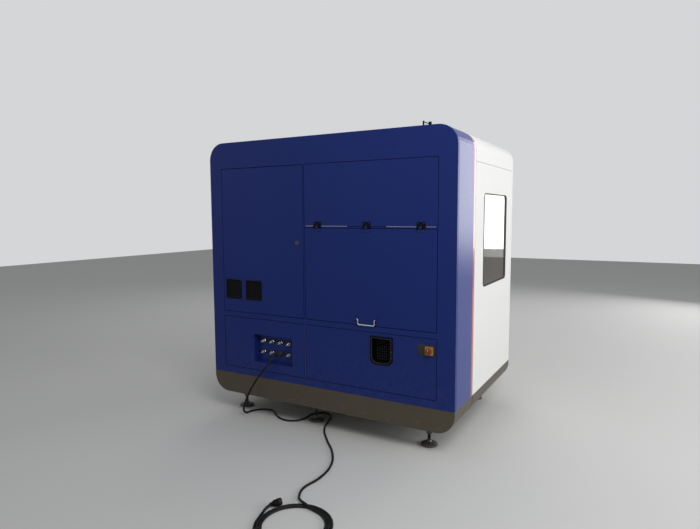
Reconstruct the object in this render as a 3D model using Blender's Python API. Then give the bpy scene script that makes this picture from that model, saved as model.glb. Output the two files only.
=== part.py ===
"""A small enclosed fiber laser cutting machine, in metres, +Z up.

The service face looks along -Y and the operator's side along +Y. X runs along the machine. The origin is on
the floor, in the middle of the machine's footprint.
"""

import math

import bmesh
import bpy
from mathutils import Matrix, Vector

# Driving sizes of the cabinet
LENGTH = 1.80
DEPTH = 1.28
CABINET_HEIGHT = 1.75
FOOT_HEIGHT = 0.15
CORNER_RADIUS = 0.115
BAND_HEIGHT = 0.140
PLINTH_WALL = 0.008
SERVICE_DEPTH = 0.302
STRIPE_WIDTH = 0.028
SECTION_GAP = 0.008
GROOVE_DEPTH = 0.003
SHEET = 0.004
ROOF_DROP = 0.178
COVER_LAP = 0.015
COVER_SEAM_LINE = 0.003
SEAT_GAP = 0.0003
SEAM_GAP = 0.004
OVERRUN = 0.010

# The service face: places are measured from its right end and from the base of the cabinet
FACE_DEPTH = 0.028
REBATE = 0.016
PANEL_SHEET = 0.003
SEAM_LINE = 0.0008
LEAF_DEPTH = 0.022
LEAF_WALL = 0.003
LEAF_RETURN = 0.018
FACE_TOP_MARGIN = 0.175
RIGHT_BAY_START = 0.111
LEFT_BAY_START = 0.100
LEFT_BAY_SHARE = 0.43165
MULLION = 0.009
LOW_BAYS_BASE = 0.190
LOW_BAYS_HEIGHT = 0.358
CROSS_RAIL = 0.035
HATCH_HEIGHT = 0.594

# Hatch furniture
HINGE_PITCH_SHARE = 0.38864
HINGE_WIDTH = 0.050
HINGE_LEAF_HEIGHT = 0.024
HINGE_LEAF = 0.004
HINGE_KNUCKLE_RADIUS = 0.007
HINGE_PIN_RADIUS = 0.003
PIN_CLEARANCE = 0.0004
HANDLE_WIDTH = 0.128
HANDLE_DROP = 0.034
HANDLE_BAR_RADIUS = 0.004
HANDLE_RISE = 0.040
HANDLE_LUG = 0.012
HANDLE_STAND_OFF = 0.010
HANDLE_BEND = 0.008

# Service door furniture
PIVOT_INSET = 0.008
PIVOT_RADIUS = 0.003
PIVOT_LENGTH = 0.010
FAN_SIZE = 0.134
FAN_PITCH = 0.176
FAN_FIRST = 0.093
FAN_RISE = 0.160
FAN_FLANGE = 0.006
FAN_DEPTH = 0.034
FAN_WALL = 0.005
FAN_SLATS = 9
FAN_SLAT = 0.0025
FAN_HUB_RADIUS = 0.020
FAN_AXLE_RADIUS = 0.003
FAN_BLADES = 7
FAN_BLADE_CHORD = 0.024
FAN_ROTOR_DEPTH = 0.010
FAN_BLADE_THICKNESS = 0.002
FAN_BLADE_PITCH = 32.0
BLADE_ROOT_SHARE = 0.8
LOCK_RADIUS = 0.012
LOCK_BARREL_RADIUS = 0.008
LOCK_HEIGHT_ABOVE_BASE = 1.076
LOCK_EDGE_DISTANCE = 0.048
LOCK_CAM_LENGTH = 0.040
LOCK_CAM = 0.003
LOCK_SLOT = 0.002

# Connection panel
RECESS_WIDTH = 0.320
RECESS_HEIGHT = 0.192
RECESS_DEPTH = 0.044
RECESS_FROM_RIGHT = 0.100
RECESS_RISE = 0.058
COUPLING_COUNT = 4
COUPLING_PITCH = 0.071
COUPLING_FIRST = 0.062
COUPLING_ROW_LOW = 0.070
COUPLING_ROW_PITCH = 0.076
COUPLING_HEX = 0.013
COUPLING_HEX_DEPTH = 0.012
COUPLING_BODY_RADIUS = 0.010
COUPLING_BODY_DEPTH = 0.014
COUPLING_TIP_RADIUS = 0.007
COUPLING_TIP_DEPTH = 0.010
COUPLING_STRIP = 0.020
COUPLING_STRIP_SHEET = 0.003

# Exhaust port and main switch
PORT_FROM_BED_END = 0.240
PORT_WIDTH = 0.128
PORT_HEIGHT = 0.151
PORT_BASE = 0.366
PORT_CORNER = 0.036
PORT_FLANGE = 0.010
PORT_STAND = 0.006
PORT_WALL = 0.004
SWITCH_FROM_RIGHT = 0.174
SWITCH_HEIGHT = 0.479
SWITCH_WIDTH = 0.104
SWITCH_TALL = 0.066
SWITCH_SHEET = 0.004
SWITCH_BLOCK = 0.056
SWITCH_BLOCK_DEPTH = 0.010
SWITCH_KNOB_RADIUS = 0.018
SWITCH_KNOB_DEPTH = 0.014
SWITCH_GRIP = 0.010
SWITCH_GRIP_DEPTH = 0.010
SWITCH_SHAFT_RADIUS = 0.005

# Side window
WINDOW_WIDTH = 0.570
WINDOW_HEAD = 0.187
WINDOW_BASE = 0.795
WINDOW_CORNER = 0.030
GLASS = 0.006
GLASS_LAP = 0.015

# Feet and roof fitting
FOOT_LEFT_INSET = 0.155
FOOT_RIGHT_INSET = 0.210
MIDDLE_FOOT_SHARE = 0.4251
FOOT_INSET = 0.155
FOOT_PAD_RADIUS = 0.052
FOOT_PAD_HEIGHT = 0.022
FOOT_PAD_TOP_RADIUS = 0.024
FOOT_STUD_RADIUS = 0.011
FOOT_NUT_RADIUS = 0.020
FOOT_NUT_HEIGHT = 0.014
FOOT_NUT_RISE = 0.052
FOOT_BOSS_DEPTH = 0.050
SOCKET_FROM_RIGHT = 0.206
SOCKET_INSET = 0.060
SOCKET_PLATE = 0.004
SOCKET_SPAN = 0.030
SOCKET_POST_RADIUS = 0.005
SOCKET_POST_HEIGHT = 0.034
SOCKET_CAP_RADIUS = 0.009

# Operator's side
DOORWAY_BASE = 0.620
DOORWAY_HEAD = 0.230
DOORWAY_LEFT = 0.110
DOORWAY_TO_CONSOLE = 0.100
DOOR_WINDOW_MARGIN = 0.090
DOOR_PULL_HEIGHT = 0.220
DOOR_PULL_RADIUS = 0.007
DOOR_PULL_REACH = 0.035
DOOR_PULL_EDGE = 0.045
PULL_STEM_SHARE = 0.9
CONSOLE_WIDTH = 0.300
CONSOLE_HEIGHT = 0.560
CONSOLE_BASE = 0.860
CONSOLE_FROM_RIGHT = 0.110
CONSOLE_DEPTH = 0.056
CONSOLE_STAND = 0.006
SCREEN_WIDTH = 0.230
SCREEN_HEIGHT = 0.180
SCREEN_TOP_MARGIN = 0.050
SCREEN_SINK = 0.006
BUTTON_ROW_RISE = 0.110
BUTTON_RADIUS = 0.011
BUTTON_WELL = 0.014
BUTTON_TRAVEL = 0.004
BUTTON_SEAT = 0.008
BUTTON_PITCH = 0.085
ESTOP_RADIUS = 0.020
ESTOP_NECK_RADIUS = 0.011
ESTOP_NECK = 0.010
ESTOP_HEAD = 0.014
ESTOP_CROWN_SHARE = 0.7

# Drawer
DRAWER_WIDTH = 0.960
DRAWER_HEIGHT = 0.170
DRAWER_BASE = 0.205
DRAWER_LENGTH = 0.760
DRAWER_WALL = 0.004
DRAWER_FRONT = 0.020
DRAWER_FRONT_MARGIN = 0.020
DRAWER_GRIP_WIDTH = 0.160
DRAWER_GRIP_HEIGHT = 0.030
DRAWER_GRIP_DEPTH = 0.012
RUNNING_GAP = 0.003

# Bed, slats and gantry
BED_LENGTH = 1.360
BED_WALL = 0.160
BED_HEIGHT = 0.400
BED_TUBE_WALL = 0.010
BED_FLOOR = 0.012
BED_BACK_WALL = 0.012
BED_FROM_BULKHEAD = 0.030
BED_FROM_FASCIA = 0.030
RAIL_WIDTH = 0.024
RAIL_HEIGHT = 0.020
RAIL_NECK = 0.014
RAIL_INSET = 0.060
TABLE_FRAME = 0.030
TABLE_DEPTH = 0.090
TABLE_SHELF = 0.012
SLAT_COUNT = 14
SLAT = 0.004
SLAT_HEIGHT = 0.070
SLAT_TEETH = 16
SLAT_TOOTH = 0.018
SLAT_PROUD = 0.012
GANTRY_WIDTH = 0.110
GANTRY_HEIGHT = 0.090
BEAM_WALL = 0.008
GANTRY_RISE = 0.190
SADDLE_WIDTH = 0.090
SADDLE_LENGTH = 0.200
CROSS_RAIL_SIZE = 0.018
CARRIAGE_WIDTH = 0.130
CARRIAGE_HEIGHT = 0.150
CARRIAGE_PLATE = 0.018
HEAD_WIDTH = 0.060
HEAD_DEPTH = 0.050
HEAD_HEIGHT = 0.180
COLLAR_RADIUS = 0.024
COLLAR_HEIGHT = 0.030
NOZZLE_TOP_RADIUS = 0.014
NOZZLE_TIP_RADIUS = 0.003
NOZZLE_HEIGHT = 0.036
NOZZLE_CLEARANCE = 0.070

# Laser source and electrical panel
SOURCE_FROM_PLATE = 0.100
SOURCE_TO_PORT = 0.056
SOURCE_DEPTH = 0.160
SOURCE_HEIGHT = 0.240
SOURCE_FIN = 0.004
SOURCE_FIN_DEPTH = 0.012
SOURCE_FINS = 12
MOUNT_PLATE_WIDTH = 0.560
MOUNT_PLATE_HEIGHT = 0.760
MOUNT_PLATE = 0.004
MOUNT_PLATE_BASE = 0.560
MOUNT_PLATE_FROM_LEFT = 0.120
RAIL_ROWS = 3
RAIL_MODULES = 5
MODULE_WIDTH = 0.072
MODULE_HEIGHT = 0.120
MODULE_DEPTH = 0.080
MODULE_GAP = 0.014
ROW_PITCH = 0.230

# Supply lead
LEAD_DIAMETER = 0.013
LEAD_STEP_SHARE = 2.6
GLAND_RADIUS = 0.014
GLAND_HEX = 0.016
GLAND_DEPTH = 0.026
GLAND_TAPER = 0.024
COIL_RADIUS = 0.160
PLUG_RADIUS = 0.018
PLUG_LENGTH = 0.060
PLUG_COLLAR = 0.014

# How finely round stretches are made
ARC_STEPS = 8
ROUND_SIDES = 24
SMALL_ROUND_SIDES = 16
COIL_SIDES = 40
STRAP_SIDES = 8

# Places that many pieces share
CABINET_BASE = FOOT_HEIGHT
CABINET_TOP = FOOT_HEIGHT + CABINET_HEIGHT
BAND_TOP = CABINET_BASE + BAND_HEIGHT
LEFT, RIGHT = -LENGTH / 2, LENGTH / 2
FACE_Y, FRONT_Y = -DEPTH / 2, DEPTH / 2
SERVICE_BACK = FACE_Y + SERVICE_DEPTH
MAIN_START = SERVICE_BACK + STRIPE_WIDTH + SECTION_GAP
COVER_SEAM = CABINET_TOP - ROOF_DROP
FACE_INNER = FACE_Y + FACE_DEPTH
FASCIA_INNER = FRONT_Y - FACE_DEPTH
BAYS_WIDTH = LENGTH - LEFT_BAY_START - RIGHT_BAY_START - MULLION
LEFT_BAY = (LEFT + LEFT_BAY_START, LEFT + LEFT_BAY_START + BAYS_WIDTH * LEFT_BAY_SHARE)
RIGHT_BAY = (LEFT_BAY[1] + MULLION, RIGHT - RIGHT_BAY_START)
LOW_BAYS = (CABINET_BASE + LOW_BAYS_BASE, CABINET_BASE + LOW_BAYS_BASE + LOW_BAYS_HEIGHT)
HATCH_BAY = (LOW_BAYS[1] + CROSS_RAIL, LOW_BAYS[1] + CROSS_RAIL + HATCH_HEIGHT)
UPPER_BAY = (HATCH_BAY[1] + MULLION, CABINET_TOP - FACE_TOP_MARGIN)
SERVICE_DOOR_BAY = (HATCH_BAY[0], UPPER_BAY[1])
HATCH_AXIS = (FACE_Y - HINGE_KNUCKLE_RADIUS - SEAT_GAP, (HATCH_BAY[1] + UPPER_BAY[0]) / 2)
HINGE_MIDDLE = (RIGHT_BAY[0] + RIGHT_BAY[1]) / 2
HINGE_PITCH = (RIGHT_BAY[1] - RIGHT_BAY[0]) * HINGE_PITCH_SHARE
HINGE_PLACES = [HINGE_MIDDLE + step * HINGE_PITCH for step in (-1, 0, 1)]
HANDLE_X = HINGE_MIDDLE
HANDLE_AXIS = (FACE_Y - HANDLE_STAND_OFF, HATCH_BAY[0] + HANDLE_RISE)
FAN_PLACES = [LEFT_BAY[0] + FAN_FIRST + FAN_PITCH * i for i in range(2)]
FAN_Z = SERVICE_DOOR_BAY[0] + FAN_RISE
LOCK_X = LEFT_BAY[1] - LOCK_EDGE_DISTANCE
LOCK_Z = CABINET_BASE + LOCK_HEIGHT_ABOVE_BASE
RECESS_X = LEFT_BAY[1] - RECESS_FROM_RIGHT - RECESS_WIDTH
RECESS_Z = LOW_BAYS[0] + RECESS_RISE
PORT_X = BED_LENGTH / 2 - PORT_FROM_BED_END
PORT_Z = CABINET_BASE + PORT_BASE
SWITCH_X = RIGHT - SWITCH_FROM_RIGHT
SWITCH_Z = CABINET_BASE + SWITCH_HEIGHT
KNOB_X = SWITCH_X + SWITCH_WIDTH / 2 - SWITCH_BLOCK / 2 - RUNNING_GAP
SERVICE_PIVOT = (LEFT_BAY[0] + SEAM_GAP + PIVOT_INSET, FACE_Y + PIVOT_INSET)
FOOT_ENDS = (LEFT + FOOT_LEFT_INSET, RIGHT - FOOT_RIGHT_INSET)
FOOT_X_PLACES = (FOOT_ENDS[0], FOOT_ENDS[0] + (FOOT_ENDS[1] - FOOT_ENDS[0]) * MIDDLE_FOOT_SHARE, FOOT_ENDS[1])
SOCKET_X = RIGHT - SOCKET_FROM_RIGHT
WINDOW_MIDDLE = (MAIN_START + FRONT_Y) / 2
WINDOW_LOW = CABINET_BASE + WINDOW_BASE
WINDOW_HEIGHT = COVER_SEAM - WINDOW_HEAD - WINDOW_LOW
CONSOLE_ACROSS = (RIGHT - CONSOLE_FROM_RIGHT - CONSOLE_WIDTH, RIGHT - CONSOLE_FROM_RIGHT)
DOORWAY = (LEFT + DOORWAY_LEFT, CONSOLE_ACROSS[0] - DOORWAY_TO_CONSOLE)
DOORWAY_UP = (CABINET_BASE + DOORWAY_BASE, CABINET_TOP - DOORWAY_HEAD)
FRONT_PIVOTS = [
    (DOORWAY[0] + SEAM_GAP + PIVOT_INSET, FRONT_Y - PIVOT_INSET),
    (DOORWAY[1] - SEAM_GAP - PIVOT_INSET, FRONT_Y - PIVOT_INSET),
]
CONSOLE_UP = (CABINET_BASE + CONSOLE_BASE, CABINET_BASE + CONSOLE_BASE + CONSOLE_HEIGHT)
DRAWER_ACROSS = (-DRAWER_WIDTH / 2, DRAWER_WIDTH / 2)
DRAWER_UP = (CABINET_BASE + DRAWER_BASE, CABINET_BASE + DRAWER_BASE + DRAWER_HEIGHT)
BED_BACK = MAIN_START + BED_FROM_BULKHEAD
BED_FRONT = FASCIA_INNER - BED_FROM_FASCIA
RAIL_X = BED_LENGTH / 2 - RAIL_INSET
TABLE_BASE = BAND_TOP + BED_HEIGHT - TABLE_DEPTH
TABLE_BACK = BED_BACK + BED_BACK_WALL + RUNNING_GAP
SLAT_TIP = TABLE_BASE + TABLE_DEPTH + SLAT_PROUD
GANTRY_Y = (TABLE_BACK + BED_FRONT) / 2 - GANTRY_WIDTH
SOURCE_X = LEFT + MOUNT_PLATE_FROM_LEFT + MOUNT_PLATE_WIDTH + SOURCE_FROM_PLATE
SOURCE_LENGTH = PORT_X - PORT_WIDTH / 2 - SOURCE_TO_PORT - SOURCE_X
LEAD_PLACE = (0, 2)
LEAD_EXIT = (
    RECESS_X + COUPLING_FIRST + COUPLING_PITCH * LEAD_PLACE[1],
    FACE_Y + RECESS_DEPTH - COUPLING_STRIP_SHEET - GLAND_DEPTH - GLAND_TAPER - 3 * SEAT_GAP,
    RECESS_Z + COUPLING_ROW_LOW,
)
COIL_CENTRE = (0.47, -1.60)
PLUG_PLACE = 152.0
LEAD_ROUTE = [
    LEAD_EXIT,
    (-0.334, -0.682, 0.4675), (-0.350, -0.710, 0.444), (-0.387, -0.723, 0.390), (-0.440, -0.724, 0.322),
    (-0.505, -0.718, 0.236), (-0.563, -0.706, 0.144), (-0.603, -0.690, 0.066), (-0.625, -0.640, 0.018),
    (-0.622, -0.575, 0.0068),
    (-0.575, -0.510, 0.0068), (-0.500, -0.500, 0.0068), (-0.430, -0.550, 0.0068), (-0.350, -0.595, 0.0068),
    (-0.265, -0.590, 0.0068), (-0.212, -0.520, 0.0068), (-0.214, -0.430, 0.0068), (-0.160, -0.365, 0.0068),
    (-0.085, -0.380, 0.0068), (-0.045, -0.470, 0.0068), (0.000, -0.595, 0.0068), (0.110, -0.740, 0.0068),
    (0.235, -0.880, 0.0068), (0.315, -1.030, 0.0068), (0.335, -1.180, 0.0068), (0.320, -1.310, 0.0068),
    (0.341, -1.372, 0.0068), (0.3615, -1.4084, 0.0068), (0.3816, -1.4438, 0.0068),
]


def clear_scene():
    """Removes what a new file starts with."""
    for obj in list(bpy.data.objects):
        bpy.data.objects.remove(obj, do_unlink=True)


def finish(name, colour, roughness, metallic=0.0, alpha=1.0):
    """A Principled material, made once."""
    if name in bpy.data.materials:
        return bpy.data.materials[name]
    material = bpy.data.materials.new(name)
    material.use_nodes = True
    surface = material.node_tree.nodes["Principled BSDF"]
    surface.inputs["Base Color"].default_value = (*colour, 1.0)
    surface.inputs["Roughness"].default_value = roughness
    surface.inputs["Metallic"].default_value = metallic
    surface.inputs["Alpha"].default_value = alpha
    material.diffuse_color = (*colour, alpha)
    return material


def blue_paint():
    return finish("navy_paint", (0.012, 0.022, 0.165), 0.35)


def white_paint():
    return finish("white_paint", (0.78, 0.78, 0.76), 0.4)


def grey_paint():
    return finish("grey_paint", (0.115, 0.100, 0.080), 0.5)


def red_trim():
    return finish("red_trim", (0.65, 0.10, 0.04), 0.4)


def bed_paint():
    return finish("bed_paint", (0.30, 0.31, 0.32), 0.5)


def black_plastic():
    return finish("black_plastic", (0.015, 0.015, 0.016), 0.5)


def bright_metal():
    return finish("bright_metal", (0.72, 0.72, 0.72), 0.25, 1.0)


def sheet_steel():
    return finish("sheet_steel", (0.50, 0.50, 0.49), 0.4, 1.0)


def red_plastic():
    return finish("red_plastic", (0.60, 0.03, 0.02), 0.35)


def green_plastic():
    return finish("green_plastic", (0.03, 0.35, 0.08), 0.35)


def window_glass():
    return finish("window_glass", (0.10, 0.08, 0.05), 0.05, 0.0, 0.6)


def screen_glass():
    return finish("screen_glass", (0.02, 0.03, 0.04), 0.1)


def cable_rubber():
    return finish("cable_rubber", (0.012, 0.012, 0.012), 0.6)


def to_mesh(bm):
    """Closes a bmesh into a mesh whose faces point outwards."""
    bmesh.ops.recalc_face_normals(bm, faces=bm.faces[:])
    mesh = bpy.data.meshes.new("shape")
    bm.to_mesh(mesh)
    bm.free()
    return mesh


def box(low, high):
    """A block between two corners."""
    bm = bmesh.new()
    size = Vector(high) - Vector(low)
    place = Matrix.Translation((Vector(low) + Vector(high)) / 2) @ Matrix.Diagonal((*size, 1.0))
    bmesh.ops.create_cube(bm, size=1.0, matrix=place)
    return to_mesh(bm)


# How an outline's two coordinates and the run across it map to X, Y and Z
OUTLINE_PLANES = {
    "X": lambda a, b, run: Vector((run, a, b)),
    "Y": lambda a, b, run: Vector((a, run, b)),
    "Z": lambda a, b, run: Vector((a, b, run)),
}


def prism(outline, axis, start, end):
    """An outline pushed along an axis."""
    place = OUTLINE_PLANES[axis]
    bm = bmesh.new()
    face = bm.faces.new([bm.verts.new(place(a, b, start)) for a, b in outline])
    pushed = bmesh.ops.extrude_face_region(bm, geom=[face])
    moved = [item for item in pushed["geom"] if isinstance(item, bmesh.types.BMVert)]
    bmesh.ops.translate(bm, verts=moved, vec=place(0, 0, end - start))
    return to_mesh(bm)


def turned(profile, base, axis, sides=ROUND_SIDES):
    """A profile of (radius, height) points, which starts and ends on the axis, spun about it."""
    bm = bmesh.new()
    verts = [bm.verts.new((radius, 0, height)) for radius, height in profile]
    edges = [bm.edges.new(pair) for pair in zip(verts, verts[1:])]
    full_turn = 2 * math.pi
    bmesh.ops.spin(
        bm, geom=verts + edges, cent=(0, 0, 0), axis=(0, 0, 1), angle=full_turn, steps=sides, use_merge=True
    )
    shortest = min(abs(r) + abs(h) for r, h in profile if r or h)
    bmesh.ops.remove_doubles(bm, verts=bm.verts[:], dist=shortest / 1000)
    turn = Vector((0, 0, 1)).rotation_difference(Vector(axis)).to_matrix().to_4x4()
    bmesh.ops.transform(bm, matrix=Matrix.Translation(base) @ turn, verts=bm.verts[:])
    return to_mesh(bm)


def rod(radius, start, end, sides=SMALL_ROUND_SIDES):
    """A round bar between two points."""
    start, end = Vector(start), Vector(end)
    run = end - start
    profile = [(0, 0), (radius, 0), (radius, run.length), (0, run.length)]
    return turned(profile, start, run.normalized(), sides)


def merged(*meshes):
    """Shapes that don't touch, kept in one mesh."""
    bm = bmesh.new()
    for mesh in meshes:
        bm.from_mesh(mesh)
    return to_mesh(bm)


def shifted(mesh, offset):
    """A copy of a shape, moved."""
    copy = mesh.copy()
    copy.transform(Matrix.Translation(offset))
    return copy


def arc(centre, radius, first_degrees, last_degrees, steps=ARC_STEPS):
    """Points along an arc, both ends included."""
    span = last_degrees - first_degrees
    angles = [math.radians(first_degrees + span * i / steps) for i in range(steps + 1)]
    return [(centre[0] + radius * math.cos(t), centre[1] + radius * math.sin(t)) for t in angles]


def rounded_outline(low, high, corners, steps=ARC_STEPS):
    """A rectangle with four corner radii, anticlockwise from the lower left; zero keeps a corner sharp."""
    places = ((low[0], low[1]), (high[0], low[1]), (high[0], high[1]), (low[0], high[1]))
    points = []
    for index, ((x, z), radius) in enumerate(zip(places, corners)):
        if not radius:
            points.append((x, z))
            continue
        inward_x = radius if index in (0, 3) else -radius
        inward_z = radius if index in (0, 1) else -radius
        first = (180, 270, 0, 90)[index]
        points += arc((x + inward_x, z + inward_z), radius, first, first + 90, steps)
    return points


def rounded_path(points, radius, steps=ARC_STEPS):
    """A path through 3D points with its inner corners turned into arcs."""
    points = [Vector(point) for point in points]
    path = [points[0]]
    for before, corner, after in zip(points, points[1:], points[2:]):
        arrive, leave = (before - corner).normalized(), (after - corner).normalized()
        half = arrive.angle(leave) / 2
        centre = corner + (arrive + leave).normalized() * radius / math.sin(half)
        start = corner + arrive * radius / math.tan(half) - centre
        end = corner + leave * radius / math.tan(half) - centre
        sweep = start.angle(end)
        for i in range(steps + 1):
            share = i / steps
            mix = start * math.sin((1 - share) * sweep) + end * math.sin(share * sweep)
            path.append(centre + mix / math.sin(sweep))
    return path + [points[-1]]


def smooth_route(points, spacing):
    """Evenly spaced points along the Catmull-Rom curve through a route's points."""
    route = [Vector(p) for p in points]
    ends = [2 * route[0] - route[1]] + route + [2 * route[-1] - route[-2]]
    fine = []
    pieces = 24
    for p0, p1, p2, p3 in zip(ends, ends[1:], ends[2:], ends[3:]):
        for i in range(pieces):
            t = i / pieces
            bend = 2 * p0 - 5 * p1 + 4 * p2 - p3
            fine.append((2 * p1 + (p2 - p0) * t + bend * t**2 + (3 * p1 - p0 - 3 * p2 + p3) * t**3) / 2)
    fine.append(route[-1])
    length = sum((b - a).length for a, b in zip(fine, fine[1:]))
    count = max(2, round(length / spacing))
    step, walked, even = length / count, 0.0, [fine[0]]
    for a, b in zip(fine, fine[1:]):
        run = (b - a).length
        while len(even) < count and walked + run >= step * len(even):
            even.append(a.lerp(b, (step * len(even) - walked) / run))
        walked += run
    return even + [fine[-1]]


def bar_curve(name, path, radius, material, resolution=2):
    """A round bar along a path, as a curve with filled caps."""
    curve = bpy.data.curves.new(name, "CURVE")
    curve.dimensions = "3D"
    curve.bevel_depth = radius
    curve.bevel_resolution = resolution
    curve.use_fill_caps = True
    spline = curve.splines.new("POLY")
    spline.points.add(len(path) - 1)
    for point, place in zip(spline.points, path):
        point.co = (*place, 1.0)
    curve.materials.append(material)
    obj = bpy.data.objects.new(name, curve)
    bpy.context.scene.collection.objects.link(obj)
    return obj


def tool_object(name, mesh):
    """A cutter or an added shape, which only modifiers read."""
    obj = bpy.data.objects.new(name, mesh)
    bpy.context.scene.collection.objects.link(obj)
    obj.display_type = "WIRE"
    obj.hide_render = True
    return obj


def piece(name, material, base, add=(), cut=(), origin=None, bevel=0.0, smooth=False):
    """One solid: a base shape, what is joined to it and cut from it, with its origin where it turns."""
    mesh = base.copy()
    mesh.name = name
    obj = bpy.data.objects.new(name, mesh)
    bpy.context.scene.collection.objects.link(obj)
    mesh.materials.clear()
    mesh.materials.append(material)
    if origin is not None:
        mesh.transform(Matrix.Translation(-Vector(origin)))
        obj.location = origin
    for operation, shapes in (("UNION", add), ("DIFFERENCE", cut)):
        for number, shape in enumerate(shapes):
            modifier = obj.modifiers.new(f"{operation.lower()}_{number}", "BOOLEAN")
            modifier.operation = operation
            modifier.solver = "EXACT"
            modifier.object = tool_object(f"{name}_{operation.lower()}_{number}", shape)
    if bevel:
        rounding = obj.modifiers.new("edges", "BEVEL")
        rounding.width = bevel
        rounding.segments = 2
        rounding.limit_method = "ANGLE"
    if smooth:
        mesh.shade_smooth()
        mesh.set_sharp_from_angle(angle=math.radians(40))
    return obj


def carried(child, parent):
    """Parents a piece without moving it."""
    bpy.context.view_layer.update()
    child.parent = parent
    child.matrix_parent_inverse = parent.matrix_world.inverted()


def arch_outline(base, sheet):
    """The cabinet's sides and rounded roof in one bent sheet, seen along Y, down to a height."""
    inner_radius = CORNER_RADIUS - sheet
    corner_right = (RIGHT - CORNER_RADIUS, CABINET_TOP - CORNER_RADIUS)
    corner_left = (LEFT + CORNER_RADIUS, CABINET_TOP - CORNER_RADIUS)
    outer = [(RIGHT, base)]
    outer += arc(corner_right, CORNER_RADIUS, 0, 90) + arc(corner_left, CORNER_RADIUS, 90, 180)
    inner = [(RIGHT - sheet, base)]
    inner += arc(corner_right, inner_radius, 0, 90) + arc(corner_left, inner_radius, 90, 180)
    return outer + [(LEFT, base), (LEFT + sheet, base)] + inner[:0:-1] + [inner[0]]


def cabinet_end(base, inset=0.0):
    """The cabinet's end outline from a height up, with the two rounded top corners."""
    radius = CORNER_RADIUS - inset
    low, high = (LEFT + inset, base), (RIGHT - inset, CABINET_TOP - inset)
    return rounded_outline(low, high, (0, 0, radius, radius))


def plinth_outline(inset=0.0, below_top=0.0):
    """The base section's outline, with the two rounded bottom corners."""
    radius = CORNER_RADIUS - inset
    low, high = (LEFT + inset, CABINET_BASE + inset), (RIGHT - inset, BAND_TOP - below_top)
    return rounded_outline(low, high, (radius, radius, 0, 0))


def make_plinths():
    """The two base sections, hollow and open to each other, with the shallow upright joint between them."""
    service_end = SERVICE_BACK + STRIPE_WIDTH
    service = prism(plinth_outline(), "Y", FACE_Y, service_end)
    main = prism(plinth_outline(), "Y", MAIN_START, FRONT_Y)
    tongue = prism(plinth_outline(GROOVE_DEPTH), "Y", service_end + SEAT_GAP, MAIN_START + OVERRUN)
    cavity = plinth_outline(PLINTH_WALL, PLINTH_WALL)
    service_cavity = prism(cavity, "Y", FACE_Y + PLINTH_WALL, service_end + OVERRUN)
    main_cavity = prism(cavity, "Y", service_end - OVERRUN, FRONT_Y - PLINTH_WALL)
    bosses = [
        [
            rod(
                FOOT_STUD_RADIUS + SEAT_GAP,
                (x, y, CABINET_BASE - OVERRUN),
                (x, y, CABINET_BASE + FOOT_BOSS_DEPTH),
            )
            for x in FOOT_X_PLACES
        ]
        for y in (FACE_Y + FOOT_INSET, FRONT_Y - FOOT_INSET)
    ]
    return [
        piece("service_plinth", grey_paint(), service, cut=[service_cavity, merged(*bosses[0])]),
        piece("main_plinth", grey_paint(), main, add=[tongue], cut=[main_cavity, merged(*bosses[1])]),
    ]


def make_feet():
    """Levelling feet: a pad, its threaded stud and the jam nut, under each side of the machine."""
    feet = []
    top = CABINET_BASE + FOOT_BOSS_DEPTH - SEAT_GAP
    nut_low = FOOT_PAD_HEIGHT + FOOT_NUT_RISE
    nut = turned(
        [(0, 0), (FOOT_NUT_RADIUS, 0), (FOOT_NUT_RADIUS, FOOT_NUT_HEIGHT), (0, FOOT_NUT_HEIGHT)],
        (0, 0, nut_low), (0, 0, 1), 6
    )
    pad_shoulder = FOOT_PAD_HEIGHT / 2
    profile = [
        (0, 0), (FOOT_PAD_RADIUS, 0), (FOOT_PAD_RADIUS, pad_shoulder), (FOOT_PAD_TOP_RADIUS, FOOT_PAD_HEIGHT),
        (FOOT_STUD_RADIUS, FOOT_PAD_HEIGHT), (FOOT_STUD_RADIUS, top), (0, top),
    ]
    stud = turned(profile, (0, 0, 0), (0, 0, 1), SMALL_ROUND_SIDES)
    for y in (FACE_Y + FOOT_INSET, FRONT_Y - FOOT_INSET):
        for x in FOOT_X_PLACES:
            name = f"levelling_foot_{len(feet) + 1}"
            foot = piece(name, black_plastic(), stud, add=[shifted(nut, (x, y, 0))], smooth=True)
            foot.location = (x, y, 0)
            feet.append(foot)
    return feet


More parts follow.
